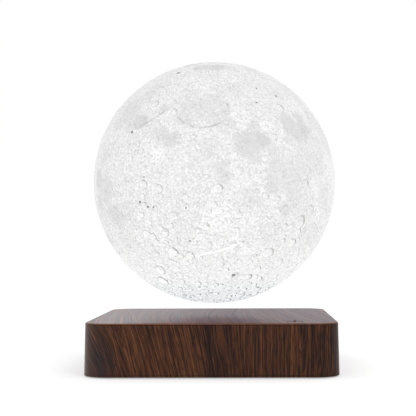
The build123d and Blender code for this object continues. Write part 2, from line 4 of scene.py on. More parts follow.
import bpy
import numpy as np
from mathutils import Matrix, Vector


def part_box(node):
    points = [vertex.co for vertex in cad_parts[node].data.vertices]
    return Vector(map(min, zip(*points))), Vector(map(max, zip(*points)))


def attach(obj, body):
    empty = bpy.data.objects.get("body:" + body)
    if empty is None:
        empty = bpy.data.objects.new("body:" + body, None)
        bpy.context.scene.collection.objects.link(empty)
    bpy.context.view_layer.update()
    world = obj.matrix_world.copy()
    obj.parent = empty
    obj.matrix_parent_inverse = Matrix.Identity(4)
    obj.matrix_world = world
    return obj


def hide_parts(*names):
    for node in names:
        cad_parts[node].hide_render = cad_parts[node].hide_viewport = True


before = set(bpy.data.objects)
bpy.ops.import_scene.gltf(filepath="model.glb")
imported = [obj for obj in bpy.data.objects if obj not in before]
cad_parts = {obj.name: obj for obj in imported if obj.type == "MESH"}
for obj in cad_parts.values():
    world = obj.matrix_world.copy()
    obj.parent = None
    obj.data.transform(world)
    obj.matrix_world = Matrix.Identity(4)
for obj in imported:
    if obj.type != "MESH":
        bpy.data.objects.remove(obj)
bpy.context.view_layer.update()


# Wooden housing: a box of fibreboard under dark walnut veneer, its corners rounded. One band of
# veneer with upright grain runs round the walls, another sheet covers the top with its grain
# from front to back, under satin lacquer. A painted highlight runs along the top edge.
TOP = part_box("wood_housing")[1].z
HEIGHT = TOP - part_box("wood_housing")[0].z
HALF = 0.072
CORNER = 0.014
STRAIGHT = HALF - CORNER
# Bare board shows within this reach of the axis and below this level.
CAVITY = HALF - 0.0043
CEILING = TOP - 0.001

# Down from the top: where the top face ends, the painted highlight along the edge, the dark glue
# line under it, and up from the foot the line where the veneer stops.
TOP_FACE_END = 0.00008
EDGE_HIGHLIGHT = (0.00008, 0.0002, 0.0004, 0.0006)
GLUE_LINE = (0.0005, 0.0008, 0.0011, 0.0014)
FOOT_LINE = 0.0012

# Lean of the walls' grain, metres across for each metre down: its mean, its swing round the
# box and how fast that goes, and what the front left corner adds.
WALL_LEAN = 0.16
LEAN_SWING = 0.30
SWING_PACE = 16.5
CORNER_LEAN = 0.42

# The grain's layers: metres across it, metres along it, detail, and a plane of noise of its own.
BANDS = (0.010, 0.15, 2.0, 1.7)
LINES = (0.0017, 0.050, 2.0, 7.3)
HAIRS = (0.0008, 0.040, 1.0, 5.5)
FIBRES = (0.0009, 0.012, 2.0, 3.1)
PORES = (0.0006, 0.0055, 1.0, 9.4)
SMEARS = (0.014, 0.12, 1.0, 4.4)

# Growth rings, wide and narrow: metres from one to the next, and how many rings a band shifts.
WIDE_RINGS = (0.0038, 5.0)
NARROW_RINGS = (0.0019, 9.0)

# Paler and darker stretches of the walls: across from, full from, full to and to, and the tone.
WALL_SHADES = [
    (-0.070, -0.055, -0.020, -0.006, 0.052),
    (-0.016, -0.004, 0.006, 0.016, -0.060),
    (0.010, 0.020, 0.038, 0.050, 0.025),
    (0.048, 0.068, 0.085, 0.100, -0.085),
]

# The dark cloud by the front left corner: its middle across and down, and how it fades out.
CLOUD_ACROSS, CLOUD_DOWN = -0.061, 0.0225
CLOUD_FADE = (0.001, 0.013)

# The tone, from near black at 0.26 to pale brown at 0.80: its mean, what each part of the grain
# adds to it, and the tone that the right half of the walls is drawn towards.
MEAN_TONE = 0.432
RINGS_TONE, LINES_TONE, HAIRS_TONE, FIBRES_TONE = 0.14, 0.11, 0.24, 0.55
CLOUD_TONE = -0.13
EVEN_TONE = 0.49


class Value:
    """A number, colour or vector that varies over a surface: one output of a shader node.

    Arithmetic on it, with numbers or with other values, adds Math nodes.
    """

    def __init__(self, socket):
        self.socket = socket
        self.tree = socket.id_data

    def __add__(self, other):
        return maths("ADD", self, other)

    def __sub__(self, other):
        return maths("SUBTRACT", self, other)

    def __rsub__(self, other):
        return maths("SUBTRACT", other, self)

    def __mul__(self, other):
        return maths("MULTIPLY", self, other)

    def __truediv__(self, other):
        return maths("DIVIDE", self, other)

    def __rtruediv__(self, other):
        return maths("DIVIDE", other, self)

    def __neg__(self):
        return maths("MULTIPLY", self, -1.0)

    def __abs__(self):
        return maths("ABSOLUTE", self)

    __radd__ = __add__
    __rmul__ = __mul__


def plug(socket, value):
    """Sets an input to a number, a colour or a vector, or links a value to it."""
    if isinstance(value, Value):
        value.tree.links.new(value.socket, socket)
    elif socket.type == "RGBA":
        socket.default_value = (*value, 1.0)
    else:
        socket.default_value = value


def feed(node, feeds):
    """Plugs a node's inputs, given by name or by place."""
    for key, value in feeds.items():
        plug(node.inputs[key], value)


def new_node(tree, kind, feeds, **settings):
    """A new shader node with its settings made and its inputs fed."""
    node = tree.nodes.new(f"ShaderNode{kind}")
    for name, setting in settings.items():
        setattr(node, name, setting)
    feed(node, feeds)
    return node


def tree_of(values):
    """The node tree of the first value among numbers, colours and values."""
    return next(value.tree for value in values if isinstance(value, Value))


def maths(operation, *values):
    """The result of one Math node on numbers and values."""
    feeds = dict(enumerate(values))
    return Value(new_node(tree_of(values), "Math", feeds, operation=operation).outputs[0])


def vector_maths(operation, *values):
    """The result of one Vector Math node on vectors and values."""
    node = new_node(tree_of(values), "VectorMath", dict(enumerate(values)), operation=operation)
    gives_number = operation in ("DOT_PRODUCT", "LENGTH", "DISTANCE")
    return Value(node.outputs["Value" if gives_number else "Vector"])


def ramp(value, low, high, at_low=0.0, at_high=1.0):
    """A smooth step: at_low below low, at_high above high."""
    feeds = dict(enumerate((value, low, high, at_low, at_high)))
    return Value(new_node(value.tree, "MapRange", feeds, interpolation_type="SMOOTHSTEP").outputs[0])


def hump(value, start, full, fade, end, height=1.0):
    """Two smooth steps: height between full and fade, 0 before start and after end."""
    return ramp(value, start, full) * ramp(value, fade, end, height, 0.0)


def between(share, first, second):
    """The first number where share is 0, the second where it is 1."""
    return first + share * (second - first)


def blend_colour(share, first, second):
    """The first colour where share is 0, the second where it is 1."""
    feeds = {0: share, 6: first, 7: second}
    node = new_node(tree_of((share, first, second)), "Mix", feeds, data_type="RGBA")
    return Value(node.outputs[2])


def colour_scale(value, stops):
    """A colour for each value, from stops of position and colour."""
    node = new_node(value.tree, "ValToRGB", {0: value})
    points = node.color_ramp.elements
    while len(points) < len(stops):
        points.new(0.5)
    for point, (position, colour) in zip(points, stops):
        point.position = position
        point.color = (*colour, 1.0)
    return Value(node.outputs[0])


def split(value, kind="XYZ"):
    """The three numbers of a vector or, where the kind is Color, of a colour."""
    return [Value(socket) for socket in new_node(value.tree, f"Separate{kind}", {0: value}).outputs]


def vector(x, y, z):
    """A vector from three numbers or values."""
    return Value(new_node(tree_of((x, y, z)), "CombineXYZ", {0: x, 1: y, 2: z}).outputs[0])


def place(tree):
    """The surface point in the lamp's frame: the vector and its X, Y and Z."""
    point = Value(tree.nodes.new("ShaderNodeTexCoord").outputs["Object"])
    return point, *split(point)


def noise(where, size, detail=2.0, roughness=0.5):
    """Fractal noise whose features are about size metres across, from 0 to 1."""
    feeds = {"Vector": where, "Scale": 1.0 / size, "Detail": detail, "Roughness": roughness}
    return Value(new_node(where.tree, "TexNoise", feeds).outputs["Fac"])


def bump(shader, height, distance):
    """Lets a height of 1 stand proud by distance metres in the shading."""
    node = new_node(height.tree, "Bump", {"Height": height, "Distance": distance})
    plug(shader.inputs["Normal"], Value(node.outputs[0]))


def srgb(red, green, blue):
    """A colour given in 8-bit screen values, as linear light."""
    values = np.array([red, green, blue]) / 255
    linear = np.where(values <= 0.04045, values / 12.92, ((values + 0.055) / 1.055) ** 2.4)
    return tuple(float(v) for v in linear)


def new_material(name, rough, metal=0.0):
    """A material with one Principled shader; returns it, its tree and its shader."""
    material = bpy.data.materials.new(name)
    material.use_nodes = True
    shader = material.node_tree.nodes["Principled BSDF"]
    feed(shader, {"Roughness": rough, "Metallic": metal})
    return material, material.node_tree, shader


def veneer_ways(tree):
    """Metres across and along the grain, a mask that is 1 on the top, and metres down from it.

    On the walls, across is the way round the rounded square from the middle of the front,
    negative on the left, and along is the way down. It adds up the straight stretches and the
    angles turned at the corners times their radius. On the top, across is X, and along is 0 at
    the front edge and negative behind it.
    """
    x, y, z = place(tree)[1:]
    side = abs(x)
    back = maths("GREATER_THAN", y, STRAIGHT)
    past_side = maths("MAXIMUM", side - STRAIGHT, 0.0)
    past_front = maths("MAXIMUM", -y - STRAIGHT, 0.0)
    past_back = maths("MAXIMUM", y - STRAIGHT, 0.0)
    front_turn = maths("MAXIMUM", maths("ARCTAN2", past_side, past_front), back * (math.pi / 2))
    back_turn = maths("ARCTAN2", past_back, past_side) * back
    front_run = maths("MINIMUM", side, STRAIGHT)
    side_run = STRAIGHT - maths("MAXIMUM", maths("MINIMUM", -y, STRAIGHT), -STRAIGHT)
    back_run = back * (2 * STRAIGHT - 2.0 * front_run)
    run = front_run + side_run + back_run + CORNER * (front_turn + back_turn)
    run = run * maths("SIGN", x)
    top = maths("GREATER_THAN", z, TOP - TOP_FACE_END)
    down = TOP - z
    return between(top, run, x), between(top, down, -HALF - y), top, down


def leaning_grain(across, along, top):
    """Where the grain through a point starts across the veneer, its way along, and its depth.

    The start is across, less along times the lean, less the bow. The walls' lean swings round
    the box with a sine and is steep by the front left corner. The top's lean is small, and least
    in the middle. The bow, on the top alone, grows with the square of the depth, which is 1 at
    the front edge and -1 at the back. Slow noise lets the grain waver, and the top's is drawn out.
    """
    wall_lean = WALL_LEAN - LEAN_SWING * maths("SINE", across * SWING_PACE)
    wall_lean = wall_lean + ramp(across, -0.066, -0.050, CORNER_LEAN, 0.0)
    top_lean = ramp(across, -0.055, -0.005, 0.080, 0.020) + ramp(across, 0.010, 0.028, 0.0, 0.075)
    lean = between(top, wall_lean, top_lean)
    depth = along / HALF + 1.0
    bow = ramp(across, -0.060, -0.020, 0.0022, 0.0044) * ramp(across, 0.005, 0.028, 1.0, 0.2)
    start = across - along * lean - top * bow * depth * depth
    drawn = along * (1.0 - 0.72 * top)
    waver = noise(vector(start, 0.35 * drawn, 0.3), 0.030, 1.0) - 0.5
    return start + 0.010 * waver, drawn, depth


def streaks(start, drawn, layer):
    """Noise of one layer of the grain, stretched along it."""
    width, length, detail, plane = layer
    return noise(vector(start / width, drawn / length, plane), 1.0, detail, 0.55)


def crisp_streaks(start, drawn, layer):
    """The same with its contrast raised, from -0.5 to 0.5."""
    return ramp(streaks(start, drawn, layer), 0.36, 0.64) - 0.5


def growth(start, bands, rings):
    """Rings that are each pale at first and darken up to the next dark line."""
    width, shift = rings
    year = maths("FRACT", start / width + bands * shift)
    return ramp(year, 0.0, 0.14) * (1.0 - year)


def lacquer(across, tone, smears, top):
    """How much the lacquer shines.

    On the top it shines most on the left, in broad smears along the grain, and less on the dark
    lines. On the walls it shines by the front left corner.
    """
    polish = ramp(across, -0.060, 0.006, 0.57, 0.28) * ramp(across, 0.015, 0.045, 1.0, 1.09)
    dark_line = ramp(across, -0.030, 0.020, 0.90, 0.66)
    polish = polish * (1.0 + 0.55 * smears) * ramp(tone, 0.30, 0.62, dark_line, 1.05)
    corner = ramp(across, -0.105, -0.085) * ramp(across, -0.074, -0.048, 0.36, 0.04)
    return between(top, corner, polish)


def fibreboard(tree):
    """A mask that is 1 on the bare faces of the cavity, and the board's flecked colour there."""
    point, x, y, z = place(tree)
    reach = maths("MAXIMUM", abs(x), abs(y))
    raw = maths("LESS_THAN", reach, CAVITY) * maths("LESS_THAN", z, CEILING)
    flecks = 0.6 * noise(point, 0.0012) + 0.4 * noise(point, 0.012)
    stops = [(0.35, srgb(104, 78, 54)), (0.50, srgb(146, 112, 80)), (0.66, srgb(176, 142, 106))]
    return raw, colour_scale(flecks, stops)


def walnut():
    """Dark walnut: growth rings, streaks, fibres and short pores, all drawn out along the grain.

    The tone is a sum of rings, of bands, lines, hairs and fibres, which are noise stretched
    along the grain, and of the walls' broad stretches. A dark cloud lies by the front left
    corner, and the right half of the walls is more even. On the top, pale brown lines show
    through the gloss, most of all in front, and a painted plum tint stands in for the colour of
    its grazing reflection. A painted highlight runs along the top edge. The lacquer has a faint
    violet sheen at grazing views.
    """
    material, tree, shader = new_material("walnut_veneer", 0.42)
    across, along, top, down = veneer_ways(tree)
    walls = 1.0 - top
    start, drawn, depth = leaning_grain(across, along, top)
    packed = start * (1.0 + 0.10 * top)
    bands = streaks(start, drawn, BANDS) - 0.5
    fibres = streaks(packed, drawn, FIBRES) - 0.5
    rings = growth(packed, bands, WIDE_RINGS) + 0.9 * growth(packed, bands, NARROW_RINGS)
    cloud = vector(across - CLOUD_ACROSS, 0.8 * (along - CLOUD_DOWN), 0.0)
    cloud = ramp(vector_maths("LENGTH", cloud), *CLOUD_FADE, 1.0, 0.0) * walls
    band_force = 0.10 + top * ramp(across, -0.030, 0.030, 0.18, 0.65)
    broad = sum(hump(across, *shade) for shade in WALL_SHADES) * walls
    tone = MEAN_TONE + RINGS_TONE * rings + bands * band_force + FIBRES_TONE * fibres
    tone = tone + CLOUD_TONE * cloud + broad
    tone = tone + LINES_TONE * crisp_streaks(packed, drawn, LINES)
    tone = tone + HAIRS_TONE * crisp_streaks(packed, drawn, HAIRS)
    tone = between(walls * ramp(across, -0.010, 0.015, 0.0, 0.22), tone, EVEN_TONE)
    colour = colour_scale(tone, [
        (0.26, srgb(26, 21, 22)), (0.40, srgb(47, 32, 28)), (0.52, srgb(75, 46, 33)),
        (0.64, srgb(91, 57, 39)), (0.80, srgb(112, 72, 49)),
    ])
    pores = ramp(streaks(start, drawn, PORES), 0.38, 0.45, 1.0, 0.0)
    foot_line = ramp(abs(down - (HEIGHT - FOOT_LINE)), 0.0001, 0.0004, 1.0, 0.0)
    dark_lines = maths("MAXIMUM", hump(down, *GLUE_LINE), foot_line)
    pale_lines = top * ramp(tone, 0.50, 0.68) * ramp(across, -0.050, 0.020, 0.21, 0.09)
    pale_lines = pale_lines * ramp(depth, -0.2, 0.9, 0.7, 2.0)
    raw, board_colour = fibreboard(tree)
    for share, tint in (
        (0.35 * cloud, srgb(54, 48, 54)),
        (0.55 * pores, srgb(28, 21, 22)),
        # Painted highlight along the rounded top edge.
        (0.7 * hump(down, *EDGE_HIGHLIGHT), srgb(160, 108, 78)),
        (0.45 * dark_lines, srgb(30, 20, 20)),
        # Painted reflection: the top is drawn a little greyer and plum, towards the tint of its
        # grazing gloss.
        (0.32 * top, srgb(80, 50, 58)),
        (pale_lines, srgb(165, 98, 58)),
        (raw, board_colour),
    ):
        colour = blend_colour(share, colour, tint)
    smears = streaks(start, drawn, SMEARS) - 0.5
    feed(shader, {
        "Base Color": colour,
        "Roughness": 0.42 + 0.3 * fibres + 0.35 * raw,
        "Specular IOR Level": 0.06,
        "Coat Weight": lacquer(across, tone, smears, top),
        "Coat Roughness": 0.30,
        "Sheen Weight": 0.035,
        "Sheen Roughness": 0.30,
        "Sheen Tint": (0.75, 0.15, 1.0),
    })
    bump(shader, (fibres - 0.5 * pores) * walls, 0.00006)
    return material


def finish_nodes(material, *names):
    """Puts a material on CAD nodes."""
    for name in names:
        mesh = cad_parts[name].data
        mesh.materials.clear()
        mesh.materials.append(material)


finish_nodes(walnut(), "wood_housing")


# Globe shell: a hollow ball printed in white resin and lit from within, its skin modelled on the
# moon: craters, dark plains and bright rays. It is open at the bottom, where a short neck inside
# takes the cap.
GLOBE = 0.075
BALL_CENTRE = np.array([0.0, 0.0, 0.11325])
OPENING = 0.027
WALL = 0.0014
NECK_WALL = 0.0016
NECK_HEIGHT = 0.010
NECK_LIP = 0.0006
INNER_ROWS = 18
INNER_TOP = math.radians(8)

# The camera, as fitted to the lamp's outlines in the photograph: the larger features of the
# skin were picked there, and its view places them on the ball.
IMAGE = 416
IMAGE_MIDDLE = (228.0, 208.0)
FOCAL_PIXELS = 1071.679
EYE = np.array([0.022113, -0.670269, 0.074199])
YAW, PITCH, ROLL = 1.169, 1.984, 0.2


def turn_about(axis, degrees):
    """The rotation matrix about X, Y or Z."""
    i, j = [(1, 2), (2, 0), (0, 1)][axis]
    angle = math.radians(degrees)
    matrix = np.eye(3)
    matrix[i, i] = matrix[j, j] = math.cos(angle)
    matrix[j, i], matrix[i, j] = math.sin(angle), -math.sin(angle)
    return matrix


AIM = turn_about(2, YAW) @ turn_about(0, PITCH) @ turn_about(1, ROLL)


def sights(picks):
    """Unit directions from the ball's middle to picked pixels, and radians per pixel there.

    The ray through a pixel is the eye's aim turned by the pixel's offset over the focal length;
    the direction is where it first meets the ball.
    """
    x, y = np.asarray(picks, float)[:, :2].T
    across, up = (x - IMAGE_MIDDLE[0]) / FOCAL_PIXELS, (IMAGE_MIDDLE[1] - y) / FOCAL_PIXELS
    ray = np.stack([across, np.ones(len(x)), up], 1) @ AIM.T
    ray /= np.linalg.norm(ray, axis=1, keepdims=True)
    start = EYE - BALL_CENTRE
    along = ray @ start
    reach = -along - np.sqrt(np.maximum(along**2 - start @ start + GLOBE**2, 0))
    return (start + reach[:, None] * ray) / GLOBE, reach / FOCAL_PIXELS / GLOBE


# Larger craters on the front: x, y and radius in pixels.
PICKED_CRATERS = [
    (144, 206, 3.8), (143, 196.5, 3), (143, 185, 5), (158.5, 189, 4.5), (185.5, 197, 3),
    (155, 208, 3), (142, 215, 3), (150, 222, 2.5), (160, 228, 4), (171, 226, 3),
    (165.5, 232.5, 4), (147, 235, 5), (153, 237, 4), (166, 243, 3), (156, 254, 4),
    (190, 256, 4.6), (173, 252, 5), (160, 270, 6), (163, 281, 6), (195, 267, 2.5),
    (200, 258, 3), (203, 266, 3), (237, 230, 3), (218, 189, 5), (214, 205, 3.5),
    (299.5, 222, 7), (292, 243, 5), (305, 184, 5), (306, 197, 3), (285, 226, 3),
    (284, 237, 3), (268, 253, 6), (247, 277, 5), (242, 277, 3.5), (259, 279, 3.5),
    (254, 256, 3), (258, 268, 3), (226, 270, 3), (230, 277, 3), (155, 104, 4),
    (280, 108, 4.5), (206, 72, 3), (131, 159, 2.5), (298, 232, 4), (181, 256, 3),
    (186, 277, 3), (206, 291, 3), (190, 290, 3),
]
# Dark plains, as soft discs: x, y and radius in pixels, and how dark.
DARK_PLAINS = [
    (195, 108, 18, 0.45), (210, 107, 17, 0.60), (182, 119, 7, 0.65), (225, 111, 6, 0.85),
    (216, 122, 7, 0.60), (130, 112, 15, 0.75), (141, 121, 9, 1.25), (130, 127, 8, 0.70),
    (120, 122, 10, 0.60), (147, 97, 12, 0.38), (163, 108, 5, 0.80), (161, 84, 9, 0.25),
    (172, 74, 8, 0.20), (161, 134, 8, 0.85), (171, 140, 8, 1.15), (150, 134, 5, 0.50),
    (249, 144, 14, 1.25), (240, 140, 9, 0.90), (263, 141, 7, 1.60), (254, 127, 7, 0.90),
    (255, 154, 9, 1.00), (271, 148, 7, 0.90), (292, 127, 11, 1.40), (298, 134, 10, 1.40),
    (302, 128, 10, 1.40), (304, 136, 8, 1.10), (286, 118, 8, 1.00), (299, 119, 7, 1.20),
    (289, 139, 6, 0.90), (283, 151, 7, 0.65), (290, 155, 8, 0.60), (301, 171, 8, 0.90),
    (283, 172, 18, 0.85), (296, 186, 12, 0.80),
    (272, 188, 7, 1.20), (300, 160, 6, 0.90), (222, 168, 8, 0.95), (226, 175, 7, 0.95),
    (247, 198, 11, 0.65), (238, 202, 8, 0.65), (106, 190, 14, 0.85), (116, 215, 13, 0.80),
    (99, 178, 9, 1.20), (100, 202, 8, 1.10), (104, 158, 9, 0.55), (218, 67, 9, 1.20),
    (203, 67, 8, 1.20), (232, 69, 6, 0.60), (250, 70, 7, 0.50), (285, 208, 6, 1.00),
    (297, 199, 7, 0.80), (110, 240, 8, 0.80), (278, 95, 8, 0.60), (233, 90, 9, 0.40),
    (320, 160, 9, 0.70), (192, 65, 8, 0.80), (128, 210, 10, 0.25), (205, 160, 12, 0.25),
    (212, 145, 10, 0.45), (230, 125, 8, 0.45), (268, 230, 10, 0.35), (225, 180, 8, 0.45),
    (312, 152, 24, 0.62), (302, 205, 20, 0.45), (310, 235, 14, 0.25), (290, 92, 14, 0.45),
    (324, 195, 14, 0.50), (325, 140, 16, 0.65), (312, 120, 12, 0.60), (210, 267, 12, 0.35),
    (238, 280, 10, 0.35), (270, 108, 7, 0.40), (245, 170, 9, 0.20), (186, 176, 9, 0.25),
]
# Bright patches: the same, and how bright.
BRIGHT_PATCHES = [
    (202, 85, 7, 0.40), (157, 152, 8, 0.50), (190, 78, 7, 0.45), (266, 125, 6, 0.45),
    (216, 221, 15, 0.60), (232, 205, 12, 0.45), (228, 240, 12, 0.40),
    (146, 219, 13, 0.35), (142, 238, 10, 0.50), (162, 240, 11, 0.40), (172, 253, 7, 0.45),
    (127, 168, 7, 0.35), (205, 238, 11, 0.40), (236, 113, 7, 0.30), (184, 165, 9, 0.25),
    (318, 215, 10, 0.20), (240, 180, 9, 0.25), (198, 98, 8, 0.20), (145, 146, 8, 0.35),
    (165, 215, 10, 0.25), (228, 76, 8, 0.40), (250, 216, 10, 0.30), (160, 75, 9, 0.30),
    (248, 250, 10, 0.30),
]
# Small dark holes: x, y and radius in pixels.
HOLES = [
    (132, 132, 1.5), (178.5, 73, 1.8), (256.5, 88.5, 0.9), (256.5, 102.5, 1.0),
    (276, 96, 1.1), (140, 202, 1.3), (144, 177, 0.9), (153.5, 207, 1.0), (233.7, 275, 2.0),
    (190, 241, 1.0), (119.5, 253, 1.4), (186, 208, 0.9), (148, 207, 1.2),
]
# Scarps and rays: strength, half width in pixels, and the places that each runs through.
SCARPS = [
    (0.24, 0.75, [(137, 129), (150, 121), (157, 116.5), (168, 109), (174, 105)]),
    (0.16, 0.65, [(182, 92), (185, 89), (190, 84), (198, 80.5)]),
    (0.24, 1.10, [
        (177, 117), (183, 121.5), (191, 126), (200, 128), (210, 126.5), (220, 123), (228, 117),
    ]),
    (0.22, 0.70, [(227, 102), (228, 108)]),
    (0.26, 0.70, [(163, 279), (169, 284)]),
    (0.20, 0.80, [(108, 158), (112, 150), (115, 143), (117, 140)]),
]
RAYS = [
    (0.36, 0.85, [(199, 256), (206, 253), (216, 252), (228, 248), (237, 245)]),
    (0.26, 0.80, [(211, 222), (218, 219), (226, 216)]),
    (0.03, 1.60, [(258, 118), (264, 127), (271, 135), (280, 146), (290, 155)]),
]

# Craters besides the picked ones, before they are thinned out: how many, and their sizes in
# radians. Those above BOLD_SIZE stand out on the far side.
CRATER_SEED = 23
SCATTERED = 1900
SCATTERED_SIZE = 0.0165
LARGEST_SIZE = 0.06
BOLD_SIZE = 0.022
PICKED_BOLDNESS = 1.1


def crater_list():
    """Directions, radii in radians and boldness of the picked craters and of scattered ones.

    Scattered radii follow a power law. There are more craters towards the bottom, none that cuts
    into a picked one, and on the far side, which has no picked ones, the larger are bolder.
    """
    places, scale = sights(PICKED_CRATERS)
    random = np.random.default_rng(CRATER_SEED)
    level = random.uniform(-1, 1, SCATTERED)
    turn = random.uniform(0, 2 * math.pi, SCATTERED)
    reach = np.sqrt(1 - level**2)
    scattered = np.stack([reach * np.cos(turn), reach * np.sin(turn), level], 1)
    size = np.minimum(SCATTERED_SIZE * random.uniform(0.02, 1, SCATTERED) ** -0.33, LARGEST_SIZE)
    kept = random.uniform(0, 1, SCATTERED) < np.clip(0.42 - 0.75 * level, 0.12, 1)
    bold = random.uniform(0.10, 0.75, SCATTERED)
    far = np.clip(scattered[:, 1] / 0.2, 0, 1)
    bold += 0.65 * far * np.clip((size - BOLD_SIZE) / 0.006, 0, 1)
    radii = np.array(PICKED_CRATERS)[:, 2] * scale
    apart = np.linalg.norm(scattered[:, None] - places, axis=2) - 1.15 * radii
    kept &= np.all(apart > 0.9 * size[:, None], axis=1)
    return (
        np.concatenate([places, scattered[kept]]),
        np.concatenate([radii, size[kept]]),
        np.concatenate([np.full(len(places), PICKED_BOLDNESS), bold[kept]]),
    )


CRATERS = crater_list()
WAVES = 24


def wave_noise(way, pace, seed):
    """Smooth noise of about unit spread on directions: a sum of waves of random directions.

    Pace is how many radians a wave runs through, on average, along a radian of the ball.
    """
    random = np.random.default_rng(seed)
    axes = random.normal(size=(WAVES, 3))
    axes *= pace / np.linalg.norm(axes, axis=1, keepdims=True)
    axes *= random.uniform(0.6, 1.5, (WAVES, 1))
    return np.sin(way @ axes.T + random.uniform(0, 2 * math.pi, WAVES)).sum(1) / math.sqrt(WAVES / 2)


# A soft disc ends at the first share of its radius, and fades out over the second.
DISC_END, DISC_FADE = 1.25, 0.45


def soft_discs(way, picks, waver):
    """The strongest of several discs at each direction, each fading out across its edge."""
    total = np.zeros(len(way))
    middles, scale = sights(picks)
    radii, strengths = np.array(picks)[:, 2] * scale, np.array(picks)[:, 3]
    for middle, radius, strength in zip(middles, radii, strengths):
        share = np.linalg.norm(way - middle, axis=1) / radius * waver
        total = np.maximum(total, strength * np.clip((DISC_END - share) / DISC_FADE, 0, 1))
    return total


def plains(way):
    """How dark a direction is: soft discs whose edges waver with noise, less the bright ones.

    The far side has plains of its own, where slow noise rises above a level.
    """
    waver = 1 + 0.10 * wave_noise(way, pace=22, seed=5) + 0.09 * wave_noise(way, pace=60, seed=6)
    swell = wave_noise(way, pace=5, seed=8) + 0.30 * wave_noise(way, pace=24, seed=9)
    far = np.clip((way[:, 1] + 0.1) / 0.3, 0, 1)
    far_plains = 0.95 * far * np.clip(1.8 * (swell - 0.80), 0, 1)
    dark = np.maximum(soft_discs(way, DARK_PLAINS, waver), far_plains)
    return dark - soft_discs(way, BRIGHT_PATCHES, waver)


# The value that stands for far away from every crater's rim, and from every scarp and ray.
NO_RIM = 4.0
NO_LINE = 9.0
LINE_FIELDS = ("across", "beyond", "strength")


def lines(way, runs):
    """Offset across the nearest run and beyond its ends, over its half width, and its strength.

    The offset across is signed, so that it stays straight where a mesh's faces cross the run.
    """
    nearest, across, beyond = np.full((3, len(way)), NO_LINE)
    strength = np.zeros(len(way))
    for force, width, places in runs:
        corners, scale = sights(places)
        for start, end, pixel in zip(corners[:-1], corners[1:], scale):
            run, normal = end - start, np.cross(start, end)
            part = (way - start) @ run / (run @ run)
            past = np.maximum(np.maximum(-part, part - 1), 0)
            past = past * np.linalg.norm(run) / (width * pixel)
            side = way @ normal / np.linalg.norm(normal) / (width * pixel)
            away = np.where(way @ start > 0, np.hypot(side, past), NO_LINE)
            closer = away < nearest
            nearest[closer] = away[closer]
            across[closer], beyond[closer], strength[closer] = side[closer], past[closer], force
    return across, beyond, strength


# The light that models the craters comes from this share of east and of north on the ball.
LIT_EAST, LIT_NORTH = 0.86, 0.51

# A crater in shares of its radius: its depth, where its floor ends, how wide its wall is, where
# its rim stands and how wide that is, and how far off it still counts. The rim's height is a
# share of the depth.
CRATER_DEPTH = 0.10
FLOOR_END, WALL_WIDTH = 0.60, 0.35
RIM_PLACE, RIM_WIDTH = 1.02, 0.16
CRATER_REACH = 2.4
RIM_HEIGHT = 0.6


def relief(way):
    """Height in metres above the mean ball, and the fields that the skin's tones follow.

    A crater is a flat floor below the ball, a steep wall and a raised rim. The fields say how far
    the nearest crater's rim is as a share of its radius, which side of it faces the light, how
    bold it is, how dark the plain is, and how near and strong scarps and rays are.
    """
    height, rim_side, rim_bold = np.zeros((3, len(way)))
    rim_share = np.full(len(way), NO_RIM)
    for middle, rim, bold in zip(*CRATERS):
        near = np.flatnonzero(way @ middle > math.cos(CRATER_REACH * rim))
        if len(near) == 0:
            continue
        offset = way[near] - middle
        share = np.linalg.norm(offset, axis=1) / rim
        east = np.array([-middle[1], middle[0], 0.0])
        east /= max(np.linalg.norm(east), 1e-6)
        lit = LIT_EAST * east + LIT_NORTH * np.cross(middle, east)
        side = offset @ lit / np.maximum(share * rim, 1e-9)
        deep = CRATER_DEPTH * rim * GLOBE
        wall = np.clip((share - FLOOR_END) / WALL_WIDTH, 0, 1)
        wall = wall * wall * (3 - 2 * wall)
        raised = RIM_HEIGHT * deep * np.exp(-(((share - RIM_PLACE) / RIM_WIDTH) ** 2))
        height[near] += deep * (wall - 1) + raised
        closer = share < rim_share[near]
        chosen = near[closer]
        rim_share[chosen], rim_side[chosen], rim_bold[chosen] = share[closer], side[closer], bold
    depth = plains(way)
    calm = 1 - 0.6 * np.clip(depth, 0, 1)
    fields = {
        "rim_share": rim_share, "rim_side": rim_side, "rim_bold": rim_bold * calm, "plain": depth,
    }
    for name, runs in (("scarp", SCARPS), ("ray", RAYS)):
        for kind, values in zip(LINE_FIELDS, lines(way, runs)):
            fields[f"{name}_{kind}"] = values
    return height * calm, fields


def relief_rows(angles, columns):
    """Points and fields on rows of equal angle from the top of the globe."""
    turn = np.linspace(0, 2 * math.pi, columns, endpoint=False)
    a, t = np.meshgrid(angles, turn, indexing="ij")
    way = np.stack([np.sin(a) * np.cos(t), np.sin(a) * np.sin(t), np.cos(a)], -1).reshape(-1, 3)
    height, fields = relief(way)
    return BALL_CENTRE + way * (GLOBE + height)[:, None], fields


def ring_points(reach, level, columns):
    """Circles round the Z axis, one for each reach and level."""
    turn = np.linspace(0, 2 * math.pi, columns, endpoint=False)
    x, y = np.outer(reach, np.cos(turn)), np.outer(reach, np.sin(turn))
    z = np.repeat(np.asarray(level, float)[:, None], columns, 1)
    return np.stack([x, y, z], -1).reshape(-1, 3)


def round_faces(rows, columns):
    """Faces of rows of points round an axis, closed on the two points that follow the rows."""
    first, last = rows * columns, rows * columns + 1
    index = np.arange(rows * columns).reshape(rows, columns)
    following = np.roll(index, -1, axis=1)
    quads = np.stack([index[:-1], index[1:], following[1:], following[:-1]], -1).reshape(-1, 4)
    upper = np.stack([np.full(columns, first), index[0], following[0]], -1)
    lower = np.stack([np.full(columns, last), following[-1], index[-1]], -1)
    return quads, np.concatenate([upper, lower])


